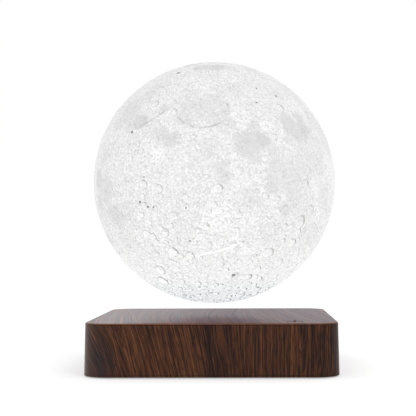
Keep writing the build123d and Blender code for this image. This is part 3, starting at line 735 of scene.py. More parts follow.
def new_piece(name, points, faces, material, crease=180):
    """A mesh object at the origin from points in metres and arrays of quads and of triangles.

    It is shaded smooth, apart from edges that turn by more than crease degrees.
    """
    mesh = bpy.data.meshes.new(name)
    corners = [face for group in faces for face in group.tolist()]
    mesh.from_pydata(np.asarray(points).tolist(), [], corners)
    mesh.polygons.foreach_set("use_smooth", np.full(len(mesh.polygons), True))
    if crease < 180:
        mesh.set_sharp_from_angle(angle=math.radians(crease))
    mesh.materials.append(material)
    piece = bpy.data.objects.new(name, mesh)
    bpy.context.scene.collection.objects.link(piece)
    return piece


def store(piece, name, values):
    """Stores a number for each point of a piece, which its material reads by name."""
    attribute = piece.data.attributes.new(name, "FLOAT", "POINT")
    attribute.data.foreach_set("value", np.asarray(values, np.float32))


def store_fields(piece, fields, before, after, ends):
    """Stores fields: blank before and after the relief, then for the two ends."""
    for name, values in fields.items():
        blank = NO_RIM if name == "rim_share" else 0.0
        tail = [end[name][0] if end else blank for end in ends]
        store(piece, name, [*np.full(before, blank), *values, *np.full(after, blank), *tail])


def field(tree, name):
    """A stored field in a material."""
    node = tree.nodes.new("ShaderNodeAttribute")
    node.attribute_name = name
    return Value(node.outputs["Fac"])


def bell(value, middle, width):
    """1 where value is middle, falling off over width on both sides."""
    off = (value - middle) / width
    return maths("EXPONENT", -(off * off))


# Rings of a crater's mark: tone, and place and width in shares of its radius.
OUTLINE = (-0.12, 1.02, 0.13)
# The crescent is painted shade on the wall of a crater turned from the light, and the glint a
# painted highlight on the wall turned to it.
CRESCENT = (-0.28, 0.97, 0.18)
GLINT = (0.10, 0.82, 0.20)
OUTER_RING = (0.06, 1.26, 0.15)
FLOOR_TONE = 0.045


def ring_mark(share, ring):
    """Tone of one ring round a crater's middle."""
    tone, middle, width = ring
    return tone * bell(share, middle, width)


def crater_mark(share, side):
    """Tone of a crater: pale floor, thin dark outline, dark crescent on one side, pale opposite."""
    # Painted shade and highlight, by the side of the rim that faces the light.
    crescent = ring_mark(share, CRESCENT) * maths("POWER", maths("MAXIMUM", side, 0.0), 1.8)
    glint = ring_mark(share, GLINT) * maths("MAXIMUM", -side, 0.0)
    floor = ramp(share, FLOOR_END, 0.92, FLOOR_TONE, 0.0)
    return floor + ring_mark(share, OUTLINE) + crescent + glint + ring_mark(share, OUTER_RING)


# Metres across: the skin's grain, its blotches, the breaks in its lines, and its thin creases,
# which have their tone beside them.
GRAIN, BLOTCH, BREAK = 0.00115, 0.009, 0.004
CREASES = [(0.0042, -0.075), (0.0030, 0.055)]
BLOTCH_TONE, PLAIN_TONE, HOLE_TONE = 0.10, -0.115, -0.75
# Small pits: metres from one to the next, strength above and at the bottom, and an offset that
# keeps the three patterns apart; then the share of a crater's tone that a pit has, and how
# deep it is in the shading for each metre of its size.
PITS = [(0.0056, 0.82, 1.4, 0.0), (0.0034, 0.97, 1.1, 0.03), (0.0021, 0.9, 0.4, 0.07)]
PIT_TONE = 0.53
PIT_DEPTH = 180
# Metres from the ball's centre: the marks are gone at the first and full from the second, so
# that the inside stays plain.
MARKS_END, MARKS_START = GLOBE - 0.0012, GLOBE - 0.0007
# The skin's glow, the darkest that marks make it, and how far both colours are dimmed in gloss,
# a painted shade on the ball's reflection in the base's top.
GLOW, DARKEST, GLOSS_DIM = 0.477, 0.3, 0.8


def pits(point, lit, down, size, strength, low, offset):
    """Tone and height of small pits, each a crater round the middle of its cell.

    Three cells in four hold one. A pit's radius is 0.24 to 0.46 of a cell.
    """
    moved = vector_maths("ADD", point, (offset, 0.0, offset))
    cells = new_node(point.tree, "TexVoronoi", {"Vector": moved, "Scale": 1.0 / size}).outputs
    inward = vector_maths("SUBTRACT", moved, Value(cells["Position"]))
    # Painted shade and highlight, as on the craters: which side of each pit faces the light.
    side = vector_maths("DOT_PRODUCT", vector_maths("NORMALIZE", inward), lit)
    chance, spread = split(Value(cells["Color"]), "Color")[:2]
    kept = ramp(chance, 0.25, 0.30)
    share = Value(cells["Distance"]) / (0.24 + 0.22 * spread)
    force = ramp(down, 0.60, 0.90, PIT_TONE * strength, PIT_TONE * low)
    tone = crater_mark(share, side) * kept * force
    return tone, ramp(share, 0.5, 0.95, 1.0, 0.0) * kept * (-PIT_DEPTH * size)


def light_way(way):
    """The direction on the ball that the craters' light comes from: some east and some north."""
    east = vector_maths("NORMALIZE", vector_maths("CROSS_PRODUCT", (0, 0, 1), way))
    north = vector_maths("CROSS_PRODUCT", way, east)
    lit_east = vector_maths("MULTIPLY", east, (LIT_EAST,) * 3)
    return vector_maths("ADD", lit_east, vector_maths("MULTIPLY", north, (LIT_NORTH,) * 3))


def fine_marks(point, way, down):
    """Tone and height of grain, thin creases and three sizes of pits, which crowd at the bottom.

    A crease is where noise passes through its middle value.
    """
    grain = noise(point, GRAIN, 1.0) - 0.5
    height = 0.5 * grain
    tone = grain * ramp(down, 0.70, 0.95, 0.66, 0.50)
    for size, crease_tone in CREASES:
        off_middle = abs(noise(point, size, 1.0) - 0.5)
        tone = tone + ramp(off_middle, 0.0, 0.035, crease_tone, 0.0)
    crowd = ramp(down, 0.0, 0.8, 0.62, 1.4) + ramp(down, 0.76, 0.92, 0.0, 4.2)
    lit = light_way(way)
    for pattern in PITS:
        mark, dip = pits(point, lit, down, *pattern)
        tone = tone + mark * crowd
        height = height + dip
    return tone, height


def picked_marks(tree, point):
    """Tone of dark scarps and pale rays, their lines broken up by noise, and of small dark holes."""
    broken = ramp(noise(point, BREAK), 0.3, 0.6, 0.35, 1.0)
    tone = 0.0
    for name, sense in (("scarp", -1.0), ("ray", 1.0)):
        across, beyond, strength = [field(tree, f"{name}_{kind}") for kind in LINE_FIELDS]
        line = bell(across, 0.0, 1.0) * bell(beyond, 0.0, 1.0)
        tone = tone + sense * line * strength * broken
    middles, scale = sights(HOLES)
    for at, radius in zip(BALL_CENTRE + GLOBE * middles, np.array(HOLES)[:, 2] * scale * GLOBE):
        away = vector_maths("DISTANCE", point, tuple(at))
        tone = tone + ramp(away, 0.6 * radius, 1.4 * radius, HOLE_TONE, 0.0)
    return tone


def moon_skin():
    """White printed skin: tones of its craters and plains, small pits, and a soft glow.

    Base and glow colours are near white times one plus the marks of the stored fields, blotches
    and fine marks. Painted light and shade even the skin out: the glow rises towards the bottom,
    over the shade of the base, and falls towards the top, which the sky lights more, while the
    base colour falls towards the bottom and the bottom is drawn a little cooler. Seen in gloss,
    both are dimmed, a painted shade in the ball's reflection.
    """
    material, tree, shader = new_material("moon_skin", 0.65)
    point = place(tree)[0]
    centre = tuple(BALL_CENTRE)
    way = vector_maths("NORMALIZE", vector_maths("SUBTRACT", point, centre))
    down = vector_maths("DOT_PRODUCT", way, (0, 0, -1))
    fine, height = fine_marks(point, way, down)
    plain = field(tree, "plain")
    craters = crater_mark(field(tree, "rim_share"), field(tree, "rim_side"))
    craters = craters * field(tree, "rim_bold") * ramp(down, 0.6, 0.95, 1.0, 2.4)
    blotches = noise(point, BLOTCH, 4.0, 0.65) - 0.5
    marks = craters + fine * (1.0 - 0.5 * plain) + PLAIN_TONE * plain + BLOTCH_TONE * blotches
    marks = marks + picked_marks(tree, point)

    reach = vector_maths("DISTANCE", point, centre)
    shade = 1.0 + marks * ramp(reach, MARKS_END, MARKS_START, 0.08, 1.0)
    # Painted shade in reflections: seen in gloss, the skin is dimmed, so that the ball's image in
    # the base's glossy top is dark.
    in_gloss = Value(tree.nodes.new("ShaderNodeLightPath").outputs["Is Glossy Ray"])
    shade = maths("MAXIMUM", shade, DARKEST) * (1.0 - GLOSS_DIM * in_gloss)
    # Painted light and shade: the glow is raised towards the bottom, over the shade of the base, and
    # lowered towards the top, which the sky lights more, and a little at the very bottom.
    glow = ramp(down, 0.25, 0.62, 1.02, 1.26) + ramp(down, 0.45, 0.80, 0.0, 0.45)
    glow = shade * glow * ramp(down, -1.0, 0.2, 0.84, 1.012) * ramp(down, 0.82, 0.97, 1.0, 0.96)
    # Painted shade: the base colour falls towards the bottom, so that light reaching the bottom when
    # the ball is lifted does not wash it out.
    body = shade * ramp(down, 0.30, 0.92, 0.50, 0.15)
    # Painted light: the bottom is drawn a little cooler, against the warm light off the walnut.
    red, blue = ramp(down, 0.60, 0.99, 1.0, 0.982), ramp(down, 0.80, 0.99, 1.0, 1.03)
    feed(shader, {
        "Base Color": vector(body * red, body, body * blue),
        "Emission Color": vector(glow * red, glow, glow * blue),
        "Emission Strength": GLOW,
        "Specular IOR Level": 0.05,
    })
    bump(shader, height, 0.0005)
    return material


skin = moon_skin()
SHELL_COLUMNS = 432
SHELL_ROWS = 196


def moon_shell():
    """The shell: relief rows from the top down to the opening, then the neck and inner ball."""
    seam = math.pi - math.asin(OPENING / GLOBE)
    outer, fields = relief_rows(np.linspace(seam / SHELL_ROWS, seam, SHELL_ROWS), SHELL_COLUMNS)
    low = BALL_CENTRE[2] + GLOBE * math.cos(seam)
    inner_ball, neck, neck_top = GLOBE - WALL, OPENING + NECK_WALL, low + NECK_HEIGHT
    inner_angles = np.linspace(math.pi - math.asin(neck / inner_ball), INNER_TOP, INNER_ROWS)
    reach = [OPENING, OPENING, neck, *inner_ball * np.sin(inner_angles)]
    inner_level = BALL_CENTRE[2] + inner_ball * np.cos(inner_angles)
    level = [low + NECK_LIP, neck_top, neck_top, *inner_level]
    inner = ring_points(reach, level, SHELL_COLUMNS)
    top_height, top_fields = relief(np.array([[0.0, 0.0, 1.0]]))
    ends = BALL_CENTRE + np.outer([GLOBE + top_height[0], inner_ball], [0, 0, 1])
    points = np.concatenate([outer, inner, ends])
    faces = round_faces(SHELL_ROWS + len(reach), SHELL_COLUMNS)
    piece = new_piece("globe_shell", points, faces, skin)
    store_fields(piece, fields, 0, len(inner), [top_fields, None])
    return piece


def stands_for(piece, node, body):
    """Makes a piece ride on a body in place of a CAD node."""
    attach(piece, body)
    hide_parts(node)


stands_for(moon_shell(), "moon_shell", "moon")


# Bottom cap: a printed plug that closes the globe's opening. Its outside carries on the relief;
# its inside is a pocket for the float magnet over a ring seat for the receiving coil.
CAP_EDGE = 0.0269
CAP_TOP = 0.05525
POCKET = 0.0203
POCKET_FLOOR = 0.04465
SEAT_INNER, SEAT_OUTER = 0.0079, 0.0181
SEAT_FLOOR = 0.04285
CAP_COLUMNS = 180
CAP_ROWS = 22


def bottom_cap():
    """Relief rows from the seam to the bottom, after the turned coil seat, pocket and side."""
    seam = math.pi - math.asin(CAP_EDGE / GLOBE)
    outer, fields = relief_rows(np.linspace(seam, math.pi, CAP_ROWS, endpoint=False), CAP_COLUMNS)
    reach = [SEAT_INNER, SEAT_INNER, SEAT_OUTER, SEAT_OUTER, POCKET, POCKET, CAP_EDGE]
    level = [POCKET_FLOOR, SEAT_FLOOR, SEAT_FLOOR, POCKET_FLOOR, POCKET_FLOOR, CAP_TOP, CAP_TOP]
    inner = ring_points(reach, level, CAP_COLUMNS)
    low_height, low_fields = relief(np.array([[0.0, 0.0, -1.0]]))
    ends = np.outer([POCKET_FLOOR, BALL_CENTRE[2] - GLOBE - low_height[0]], [0, 0, 1])
    points = np.concatenate([inner, outer, ends])
    piece = new_piece("globe_cap", points, round_faces(len(reach) + CAP_ROWS, CAP_COLUMNS), skin)
    store_fields(piece, fields, len(inner), 0, [None, low_fields])
    return piece


stands_for(bottom_cap(), "bottom_cap", "moon")


# Black mouldings: the bottom cover, the magnet tray and its cover, and the power socket are
# moulded in black plastic, with a fine spark texture and cloudy flow marks.
def effect(name, inputs, outputs):
    """A new node group: its tree, its inputs as values by name, and its output node."""
    tree = bpy.data.node_groups.new(name, "ShaderNodeTree")
    for way, sockets in (("INPUT", inputs), ("OUTPUT", outputs)):
        for label, kind in sockets.items():
            tree.interface.new_socket(label, in_out=way, socket_type=f"NodeSocket{kind}")
    entry = tree.nodes.new("NodeGroupInput").outputs
    return tree, {label: Value(entry[label]) for label in inputs}, tree.nodes.new("NodeGroupOutput")


def use_effect(group, **feeds):
    """The outputs of a node group by name, its inputs fed by name."""
    node = new_node(tree_of(feeds.values()), "Group", {}, node_tree=group)
    feed(node, feeds)
    return {socket.name: Value(socket) for socket in node.outputs}


def mottle_effect():
    """Two colours mixed by noise of a coarse and a fine size, with the fine noise as height."""
    tree, entry, leave = effect(
        "mottle",
        {"Point": "Vector", "Coarse": "Float", "Fine": "Float", "Low": "Color", "High": "Color"},
        {"Color": "Color", "Height": "Float"},
    )
    coarse = noise(entry["Point"], entry["Coarse"], 4.0)
    fine = noise(entry["Point"], entry["Fine"], 1.0)
    share = ramp(0.7 * coarse + 0.3 * fine, 0.32, 0.68)
    feed(leave, {"Color": blend_colour(share, entry["Low"], entry["High"]), "Height": fine})
    return tree


MOTTLE = mottle_effect()


def moulded(name, low, high, rough, texture=0.00003, coarse=0.012):
    """A moulding: colour between low and high, rougher where its fine texture stands proud."""
    material, tree, shader = new_material(name, rough)
    out = use_effect(
        MOTTLE, Point=place(tree)[0], Coarse=coarse, Fine=0.0006, Low=low, High=high,
    )
    feed(shader, {"Base Color": out["Color"], "Roughness": rough - 0.08 + 0.16 * out["Height"]})
    bump(shader, out["Height"], texture)
    return material


finish_nodes(
    moulded("black_moulding", srgb(26, 26, 28), srgb(44, 44, 47), rough=0.5),
    "bottom_cover", "magnet_tray", "tray_cover",
)
finish_nodes(
    moulded("socket_plastic", srgb(20, 20, 22), srgb(36, 36, 38), rough=0.38), "power_socket",
)


# Touch stud: a small dome of dark brown plastic, moulded and pressed into the housing's top.
# The touch board lies under it.
finish_nodes(
    moulded(
        "stud_plastic", srgb(58, 34, 24), srgb(104, 62, 38), rough=0.45, texture=0.00001,
        coarse=0.002,
    ),
    "touch_stud",
)


# Rubber feet: four soft black discs with rounded rims, moulded and stuck to the cover. They are
# matt, and greyed with dust at their edges.
FOOT_PLACE = 0.046
DUSTY_RIM = (0.0045, 0.0060)
# Half of a foot's section, in mm across and up from the table, from the middle of its top.
FOOT_PROFILE = [
    (0.5, 1.40), (5.4, 1.40), (5.8, 1.34), (6.0, 1.15), (6.0, 0.45), (5.9, 0.2), (5.65, 0.05),
    (5.3, 0.0), (4.6, 0.0), (4.3, 0.06), (4.1, 0.15), (0.5, 0.18),
]


def rubber():
    """Matt rubber, greyer towards the rim of each disc."""
    material, tree, shader = new_material("foot_rubber", 0.85)
    point, x, y = place(tree)[:3]
    reach = vector_maths("LENGTH", vector(abs(x) - FOOT_PLACE, abs(y) - FOOT_PLACE, 0.0))
    out = use_effect(
        MOTTLE, Point=point, Coarse=0.004, Fine=0.0004, Low=srgb(24, 24, 25), High=srgb(42, 42, 43),
    )
    dusty = ramp(reach, *DUSTY_RIM) * out["Height"]
    plug(shader.inputs["Base Color"], blend_colour(dusty, out["Color"], srgb(96, 94, 90)))
    bump(shader, out["Height"], 0.00004)
    return material


def closed_rows(grid):
    """Points and faces of rows of points round a form, closed at the middles of the end rows."""
    points = np.concatenate([grid.reshape(-1, 3), grid[:1].mean(1), grid[-1:].mean(1)])
    return points, round_faces(*grid.shape[:2])


def turned(reach, level, columns):
    """A profile carried round the Z axis, from its top to its foot."""
    return closed_rows(ring_points(reach, level, columns).reshape(len(reach), columns, 3))


def placed(part, x, y, degrees=0.0):
    """A part turned about the Z axis and then moved."""
    points, faces = part
    return points @ turn_about(2, degrees).T + [x, y, 0], faces


def in_corners(part, x, y):
    """Four copies of a part, at plus and minus x and y."""
    return [placed(part, place_x, place_y) for place_x in (-x, x) for place_y in (-y, y)]


def in_ring(part, reach, count):
    """Copies of a part in a ring round the Z axis, each turned to face outwards."""
    return [placed(placed(part, reach, 0), 0, 0, 360 / count * k) for k in range(count)]


def joined(parts):
    """Points and faces of several parts together."""
    starts = np.cumsum([0] + [len(part[0]) for part in parts[:-1]])
    moved = [[group + start for group in part[1]] for start, part in zip(starts, parts)]
    faces = [np.concatenate(groups) for groups in zip(*moved)]
    return np.concatenate([part[0] for part in parts]), faces


def rubber_feet():
    """Four turned discs with rounded rims and a dished sole."""
    reach, level = np.array(FOOT_PROFILE).T * 0.001
    feet = in_corners(turned(reach, level, columns=48), FOOT_PLACE, FOOT_PLACE)
    return new_piece("turned_feet", *joined(feet), rubber(), crease=40)


stands_for(rubber_feet(), "rubber_feet", "base")


# Screws, pins and plain metal: zinc-plated steel screws, the socket's nickel-plated pin, turned
# brass spacers and soft iron cores. Tool marks run round or along, plating is a little cloudy.
def metal(name, low, high, rough, streak, coarse=0.003):
    """Metal: cloudy colour, with fine scratches that are noise stretched by streak in Z."""
    material, tree, shader = new_material(name, rough, 1.0)
    point, x, y, z = place(tree)
    marks = noise(vector(x, y, z * streak), 0.0003)
    out = use_effect(MOTTLE, Point=point, Coarse=coarse, Fine=0.0008, Low=low, High=high)
    feed(shader, {"Base Color": out["Color"], "Roughness": rough - 0.1 + 0.2 * marks})
    bump(shader, marks, 0.00001)
    return material


COILS = range(1, 5)
finish_nodes(
    metal("zinc_plate", srgb(150, 150, 148), srgb(196, 197, 198), rough=0.35, streak=6.0),
    "cover_screws", "module_screws", "plate_screws", "board_screws",
)
finish_nodes(
    metal("pin_nickel", srgb(178, 172, 160), srgb(214, 210, 200), rough=0.25, streak=0.2),
    "socket_pin",
)
finish_nodes(
    metal("spacer_brass", srgb(176, 142, 78), srgb(214, 182, 112), rough=0.3, streak=8.0),
    "board_spacers",
)
finish_nodes(
    metal("core_iron", srgb(92, 92, 94), srgb(132, 132, 134), rough=0.45, streak=10.0),
    *[f"coil_core_{k}" for k in COILS],
)


# Circuit boards: glass fibre under solder mask, green in the base and globe, white for the light
# board. Copper tracks show through as paler lines, pads are tinned, and the sawn edges are bare.
TRACKS_PER_CELL = 8.0
TRACK_CELL = 0.0062
EDGE_FADE = 0.0001


def track_effect():
    """Tracks side by side across X in some square cells and across Y in others, and round pads."""
    tree, entry, leave = effect(
        "tracks", {"Point": "Vector", "Size": "Float"}, {"Tracks": "Float", "Pads": "Float"},
    )
    point, size = entry["Point"], entry["Size"]
    grid = {"Vector": point, "Scale": 1.0 / size}
    cells = new_node(tree, "TexVoronoi", {**grid, "Randomness": 0.7}, distance="CHEBYCHEV")
    turned_over, filled = split(Value(cells.outputs["Color"]), "Color")[:2]
    stripes = []
    for way in split(point)[:2]:
        phase = maths("FRACT", way / size * TRACKS_PER_CELL)
        stripes.append(ramp(abs(phase - 0.5), 0.20, 0.28, 1.0, 0.0))
    tracks = between(maths("GREATER_THAN", turned_over, 0.5), stripes[1], stripes[0])
    middles = new_node(tree, "TexVoronoi", {**grid, "Randomness": 0.8})
    feed(leave, {
        "Tracks": tracks * maths("GREATER_THAN", filled, 0.35),
        "Pads": ramp(Value(middles.outputs["Distance"]), 0.10, 0.12, 1.0, 0.0),
    })
    return tree


TRACKS = track_effect()


def board(name, mask, track, bottom, top):
    """A board between two levels: mask colour, paler tracks, tinned pads, fibre edges."""
    material, tree, shader = new_material(name, 0.3)
    point, x, y, z = place(tree)
    out = use_effect(TRACKS, Point=vector(x, y, 0.0), Size=TRACK_CELL)
    paler = tuple(1.25 * v for v in mask)
    cloud = use_effect(MOTTLE, Point=point, Coarse=0.010, Fine=0.0007, Low=mask, High=paler)
    edge = hump(z, bottom, bottom + EDGE_FADE, top - EDGE_FADE, top)
    colour = blend_colour(out["Tracks"], cloud["Color"], track)
    colour = blend_colour(out["Pads"], colour, srgb(186, 186, 182))
    feed(shader, {
        "Base Color": blend_colour(edge, colour, srgb(168, 160, 116)),
        "Metallic": out["Pads"] * (1.0 - edge),
        "Roughness": 0.28 + 0.4 * edge,
    })
    bump(shader, out["Tracks"], 0.00003)
    return material


green, green_track = srgb(20, 84, 48), srgb(34, 118, 66)
for node, mask, track in (
    ("main_board", green, green_track),
    ("touch_board", green, green_track),
    ("receiver_board", green, green_track),
    ("light_board", srgb(214, 216, 212), srgb(232, 233, 228)),
):
    low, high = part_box(node)
    finish_nodes(board(f"{node}_mask", mask, track, low.z, high.z), node)


# Chips: packages of black moulded resin, drafted away from their parting line, on tinned legs
# that are bent down to the board. The Hall sensors are small blocks without legs.
LEG_REACH, LEG_THICK = 0.0011, 0.00016
FINE_PITCH, WIDE_PITCH = 0.00065, 0.00127
# A leg's width as a share of the pitch.
LEG_WIDTH = 0.45
PACKAGE_CORNER = 0.0004
# Half length and half width of each kind of package over its legs.
DRIVER_HALF = (0.00325, 0.0030)
RECEIVER_HALF = (0.0030, 0.0030)
SENSOR_HALF = (0.00075, 0.0015)


def chip_finish():
    """Dusty black resin, and tin where the stored field says so."""
    material, tree, shader = new_material("chip_package", 0.5)
    out = use_effect(
        MOTTLE, Point=place(tree)[0], Coarse=0.003, Fine=0.0003,
        Low=srgb(26, 26, 28), High=srgb(46, 46, 50),
    )
    tin = field(tree, "tin")
    feed(shader, {
        "Base Color": blend_colour(tin, out["Color"], srgb(180, 181, 184)),
        "Metallic": tin,
        "Roughness": 0.44 + 0.16 * out["Height"] - 0.2 * tin,
    })
    bump(shader, out["Height"], 0.00002)
    return material


CHIP_FINISH = chip_finish()


def block(half_x, half_y, corner, insets, levels):
    """Rows of a rounded rectangle, each drawn in by its inset: corner circles and straight sides."""
    turn = np.radians(np.linspace(0, 90, 5) + 90 * np.arange(4)[:, None]).ravel()
    sign_x, sign_y = np.repeat([[1, -1, -1, 1], [1, 1, -1, -1]], 5, axis=1)
    radius = corner - np.asarray(insets)[:, None]
    x = sign_x * (half_x - corner) + radius * np.cos(turn)
    y = sign_y * (half_y - corner) + radius * np.sin(turn)
    return np.stack([x, y, np.asarray(levels)[:, None] + 0 * x], -1)


def strip(out, up, width, thick):
    """A flat strip along a bent path in the XZ plane: its section stands square to the path."""
    path = np.stack([out, up], 1)
    along = np.gradient(path, axis=0)
    along /= np.linalg.norm(along, axis=1, keepdims=True)
    proud = thick / 2 * np.array([-1, 1, 1, -1])
    x = path[:, :1] - along[:, 1:] * proud
    z = path[:, 1:] + along[:, :1] * proud
    return closed_rows(np.stack([x, width / 2 * np.array([-1, -1, 1, 1]) + 0 * x, z], -1))


def package(half_x, half_y, height, pitch, sides):
    """A package that stands on z = 0, and 1 for each point of its legs and 0 for its body.

    Sides gives the number of legs on the sides that face 0, 90, 180 and 270 degrees. A leg comes
    out at half height, bends down and runs out flat on the board.
    """
    body_x = half_x - LEG_REACH * (sides[0] > 0)
    body_y = half_y - LEG_REACH * (sides[1] > 0)
    insets = [0.00030, 0.00018, 0.0, 0.0, 0.00016, 0.00026]
    levels = height * np.array([1.0, 0.97, 0.55, 0.48, 0.12, 0.08])
    parts = [closed_rows(block(body_x, body_y, PACKAGE_CORNER, insets, levels))]
    up = np.array([0.51, 0.51, 0.49, 0.40, 0.15, 0.06, 0.0, 0.0])
    up = up * (height - LEG_THICK) + LEG_THICK / 2
    out = np.array([-0.00030, 0.00008, 0.00022, 0.00032, 0.00048, 0.00056, 0.00070, LEG_REACH])
    for side, count in enumerate(sides):
        half = body_y if side % 2 else body_x
        for step in np.arange(count) - (count - 1) / 2:
            leg = strip(half + out, up, LEG_WIDTH * pitch, LEG_THICK)
            leg = placed(leg, 0, step * pitch)
            parts.append(placed(leg, 0, 0, 90 * side))
    tin = np.repeat([0.0] + [1.0] * (len(parts) - 1), [len(part[0]) for part in parts])
    return joined(parts), tin


def chips(name, node, body, packages, tin, foot, under):
    """Like packages on a board at the level foot, or under it, as one piece in place of a node."""
    points, faces = joined(packages)
    points = points * [1, -1, -1] if under else points
    piece = new_piece(name, points + [0, 0, foot], faces, CHIP_FINISH, crease=40)
    store(piece, "tin", np.tile(tin, len(packages)))
    stands_for(piece, node, body)


low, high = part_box("control_chip")
part, tin = package(high.x, high.y, high.z - low.z, FINE_PITCH, (11, 11, 11, 11))
chips("control_package", "control_chip", "base", [part], tin, high.z, True)

low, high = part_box("driver_chips")
part, tin = package(*DRIVER_HALF, high.z - low.z, WIDE_PITCH, (4, 0, 4, 0))
drivers = in_corners(part, high.x - DRIVER_HALF[0], high.y - DRIVER_HALF[1])
chips("driver_packages", "driver_chips", "base", drivers, tin, high.z, True)

low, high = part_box("receiver_chips")
part, tin = package(*RECEIVER_HALF, high.z - low.z, WIDE_PITCH, (4, 0, 4, 0))
receivers = in_ring(part, high.x - RECEIVER_HALF[0], 3)
chips("receiver_packages", "receiver_chips", "moon", receivers, tin, low.z, False)

low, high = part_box("hall_sensors")
part, tin = package(*SENSOR_HALF, high.z - low.z, WIDE_PITCH, (0, 0, 0, 0))
sensors = in_ring(part, high.x - SENSOR_HALF[0], 3)
chips("sensor_packages", "hall_sensors", "base", sensors, tin, low.z, False)


# Capacitors: aluminium cans in dark blue shrink sleeve, rolled in over a rubber bung at the foot.
# The bare top shows inside the sleeve's edge, with its pressed vent cross, and a pale stripe
# marks the negative side.
CAN_RADIUS = 0.004
# Half of a can's section, in mm across and down from the top: bare top, rolled edge, and foot.
CAN_TOP = [
    (0.15, 0.14), (0.6, 0.14), (1.1, 0.14), (1.6, 0.14), (2.1, 0.14), (2.6, 0.14), (3.0, 0.12),
]
CAN_EDGE = [(3.05, 0.03), (3.3, 0.0), (3.65, 0.05), (3.9, 0.25), (4.0, 0.6)]
CAN_FOOT = [
    (4.0, 9.3), (3.9, 9.5), (3.6, 9.75), (3.55, 9.9), (3.65, 10.1), (3.9, 10.35), (3.95, 10.6),
    (3.9, 11.0), (3.6, 11.25), (3.3, 11.3), (3.2, 11.5), (0.3, 11.5),
]
BARE_TOP = 0.00302
VENT_DEPTH, VENT_WIDTH, VENT_REACH = 0.00012, 0.00016, 0.0027


def capacitor_sleeve():
    """Blue sleeve, bare aluminium on the top, and a pale stripe down the side that faces -X."""
    material, tree, shader = new_material("capacitor_sleeve", 0.35)
    out = use_effect(
        MOTTLE, Point=place(tree)[0], Coarse=0.004, Fine=0.0005,
        Low=srgb(26, 34, 78), High=srgb(38, 48, 100),
    )
    bare = field(tree, "bare")
    facing = Value(tree.nodes.new("ShaderNodeNewGeometry").outputs["Normal"])
    stripe = ramp(vector_maths("DOT_PRODUCT", facing, (-1.0, 0.0, 0.0)), 0.90, 0.92)
    colour = blend_colour(stripe, out["Color"], srgb(168, 172, 180))
    feed(shader, {
        "Base Color": blend_colour(bare, colour, srgb(198, 199, 202)),
        "Metallic": bare,
        "Roughness": 0.30 + 0.12 * out["Height"],
    })
    bump(shader, out["Height"], 0.00002)
    return material


def capacitors():
    """Two turned cans. The vent cross is a dip along x = 0 and y = 0, soft across its arms."""
    low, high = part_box("capacitors")
    reach, drop = np.array(CAN_TOP + CAN_EDGE + CAN_FOOT).T * 0.001
    points, faces = turned(reach, high.z - drop, columns=72)
    upper = points[:, 2] > high.z - 0.0002
    away = np.linalg.norm(points[:, :2], axis=1)
    arm = np.exp(-((np.abs(points[:, :2]).min(1) / VENT_WIDTH) ** 2))
    points[:, 2] -= VENT_DEPTH * arm * np.clip((VENT_REACH - away) / 0.0003, 0, 1) * upper
    middle_y = (low.y + high.y) / 2
    places = (low.x + CAN_RADIUS, high.x - CAN_RADIUS)
    cans = [placed((points, faces), x, middle_y) for x in places]
    piece = new_piece("capacitor_cans", *joined(cans), capacitor_sleeve(), crease=40)
    store(piece, "bare", np.tile(upper & (away < BARE_TOP), 2))
    return piece


stands_for(capacitors(), "capacitors", "base")


# Magnets: the ring is sintered ferrite, pressed and ground, dark grey with pits and grinding
# lines; the float magnet is a nickel-plated neodymium disc.
def ferrite():
    """Dark ferrite: cloudy grey, small pits, and straight grinding lines on its flat faces."""
    material, tree, shader = new_material("ring_ferrite", 0.55)
    point, x, y, z = place(tree)
    out = use_effect(
        MOTTLE, Point=point, Coarse=0.007, Fine=0.0005, Low=srgb(50, 50, 54), High=srgb(84, 84, 88),
    )
    scratches = noise(vector(x, 0.03 * y, z), 0.0004)
    # Painted shade: small pits, dipped in the bump and drawn near black.
    holes = ramp(noise(point, 0.0013, 1.0), 0.28, 0.34, 1.0, 0.0)
    feed(shader, {
        "Base Color": blend_colour(holes, out["Color"], srgb(26, 26, 28)),
        "Roughness": 0.45 + 0.25 * scratches,
    })
    bump(shader, scratches - holes, 0.00003)
    return material


finish_nodes(ferrite(), "ring_magnet")
finish_nodes(
    metal(
        "magnet_nickel", srgb(184, 182, 176), srgb(216, 215, 211), rough=0.22, streak=1.0,
        coarse=0.008,
    ),
    "float_magnet",
)


# Coils: enamelled copper wire, wound in layers on the bobbins or flat on the power coils, and
# held by varnish. The grooves between the turns are painted dark red, as painted shade.
def copper_wire():
    """Enamelled copper: bright on the turns, painted shade of dark red in the stored grooves."""
    material, tree, shader = new_material("enamelled_copper", 0.32, 0.85)
    out = use_effect(
        MOTTLE, Point=place(tree)[0], Coarse=0.006, Fine=0.0006,
        Low=srgb(168, 92, 50), High=srgb(206, 124, 72),
    )
    groove = field(tree, "groove")
    feed(shader, {
        "Base Color": blend_colour(groove, out["Color"], srgb(74, 30, 16)),
        "Roughness": 0.26 + 0.12 * out["Height"] + 0.15 * groove,
    })
    return material


COPPER = copper_wire()


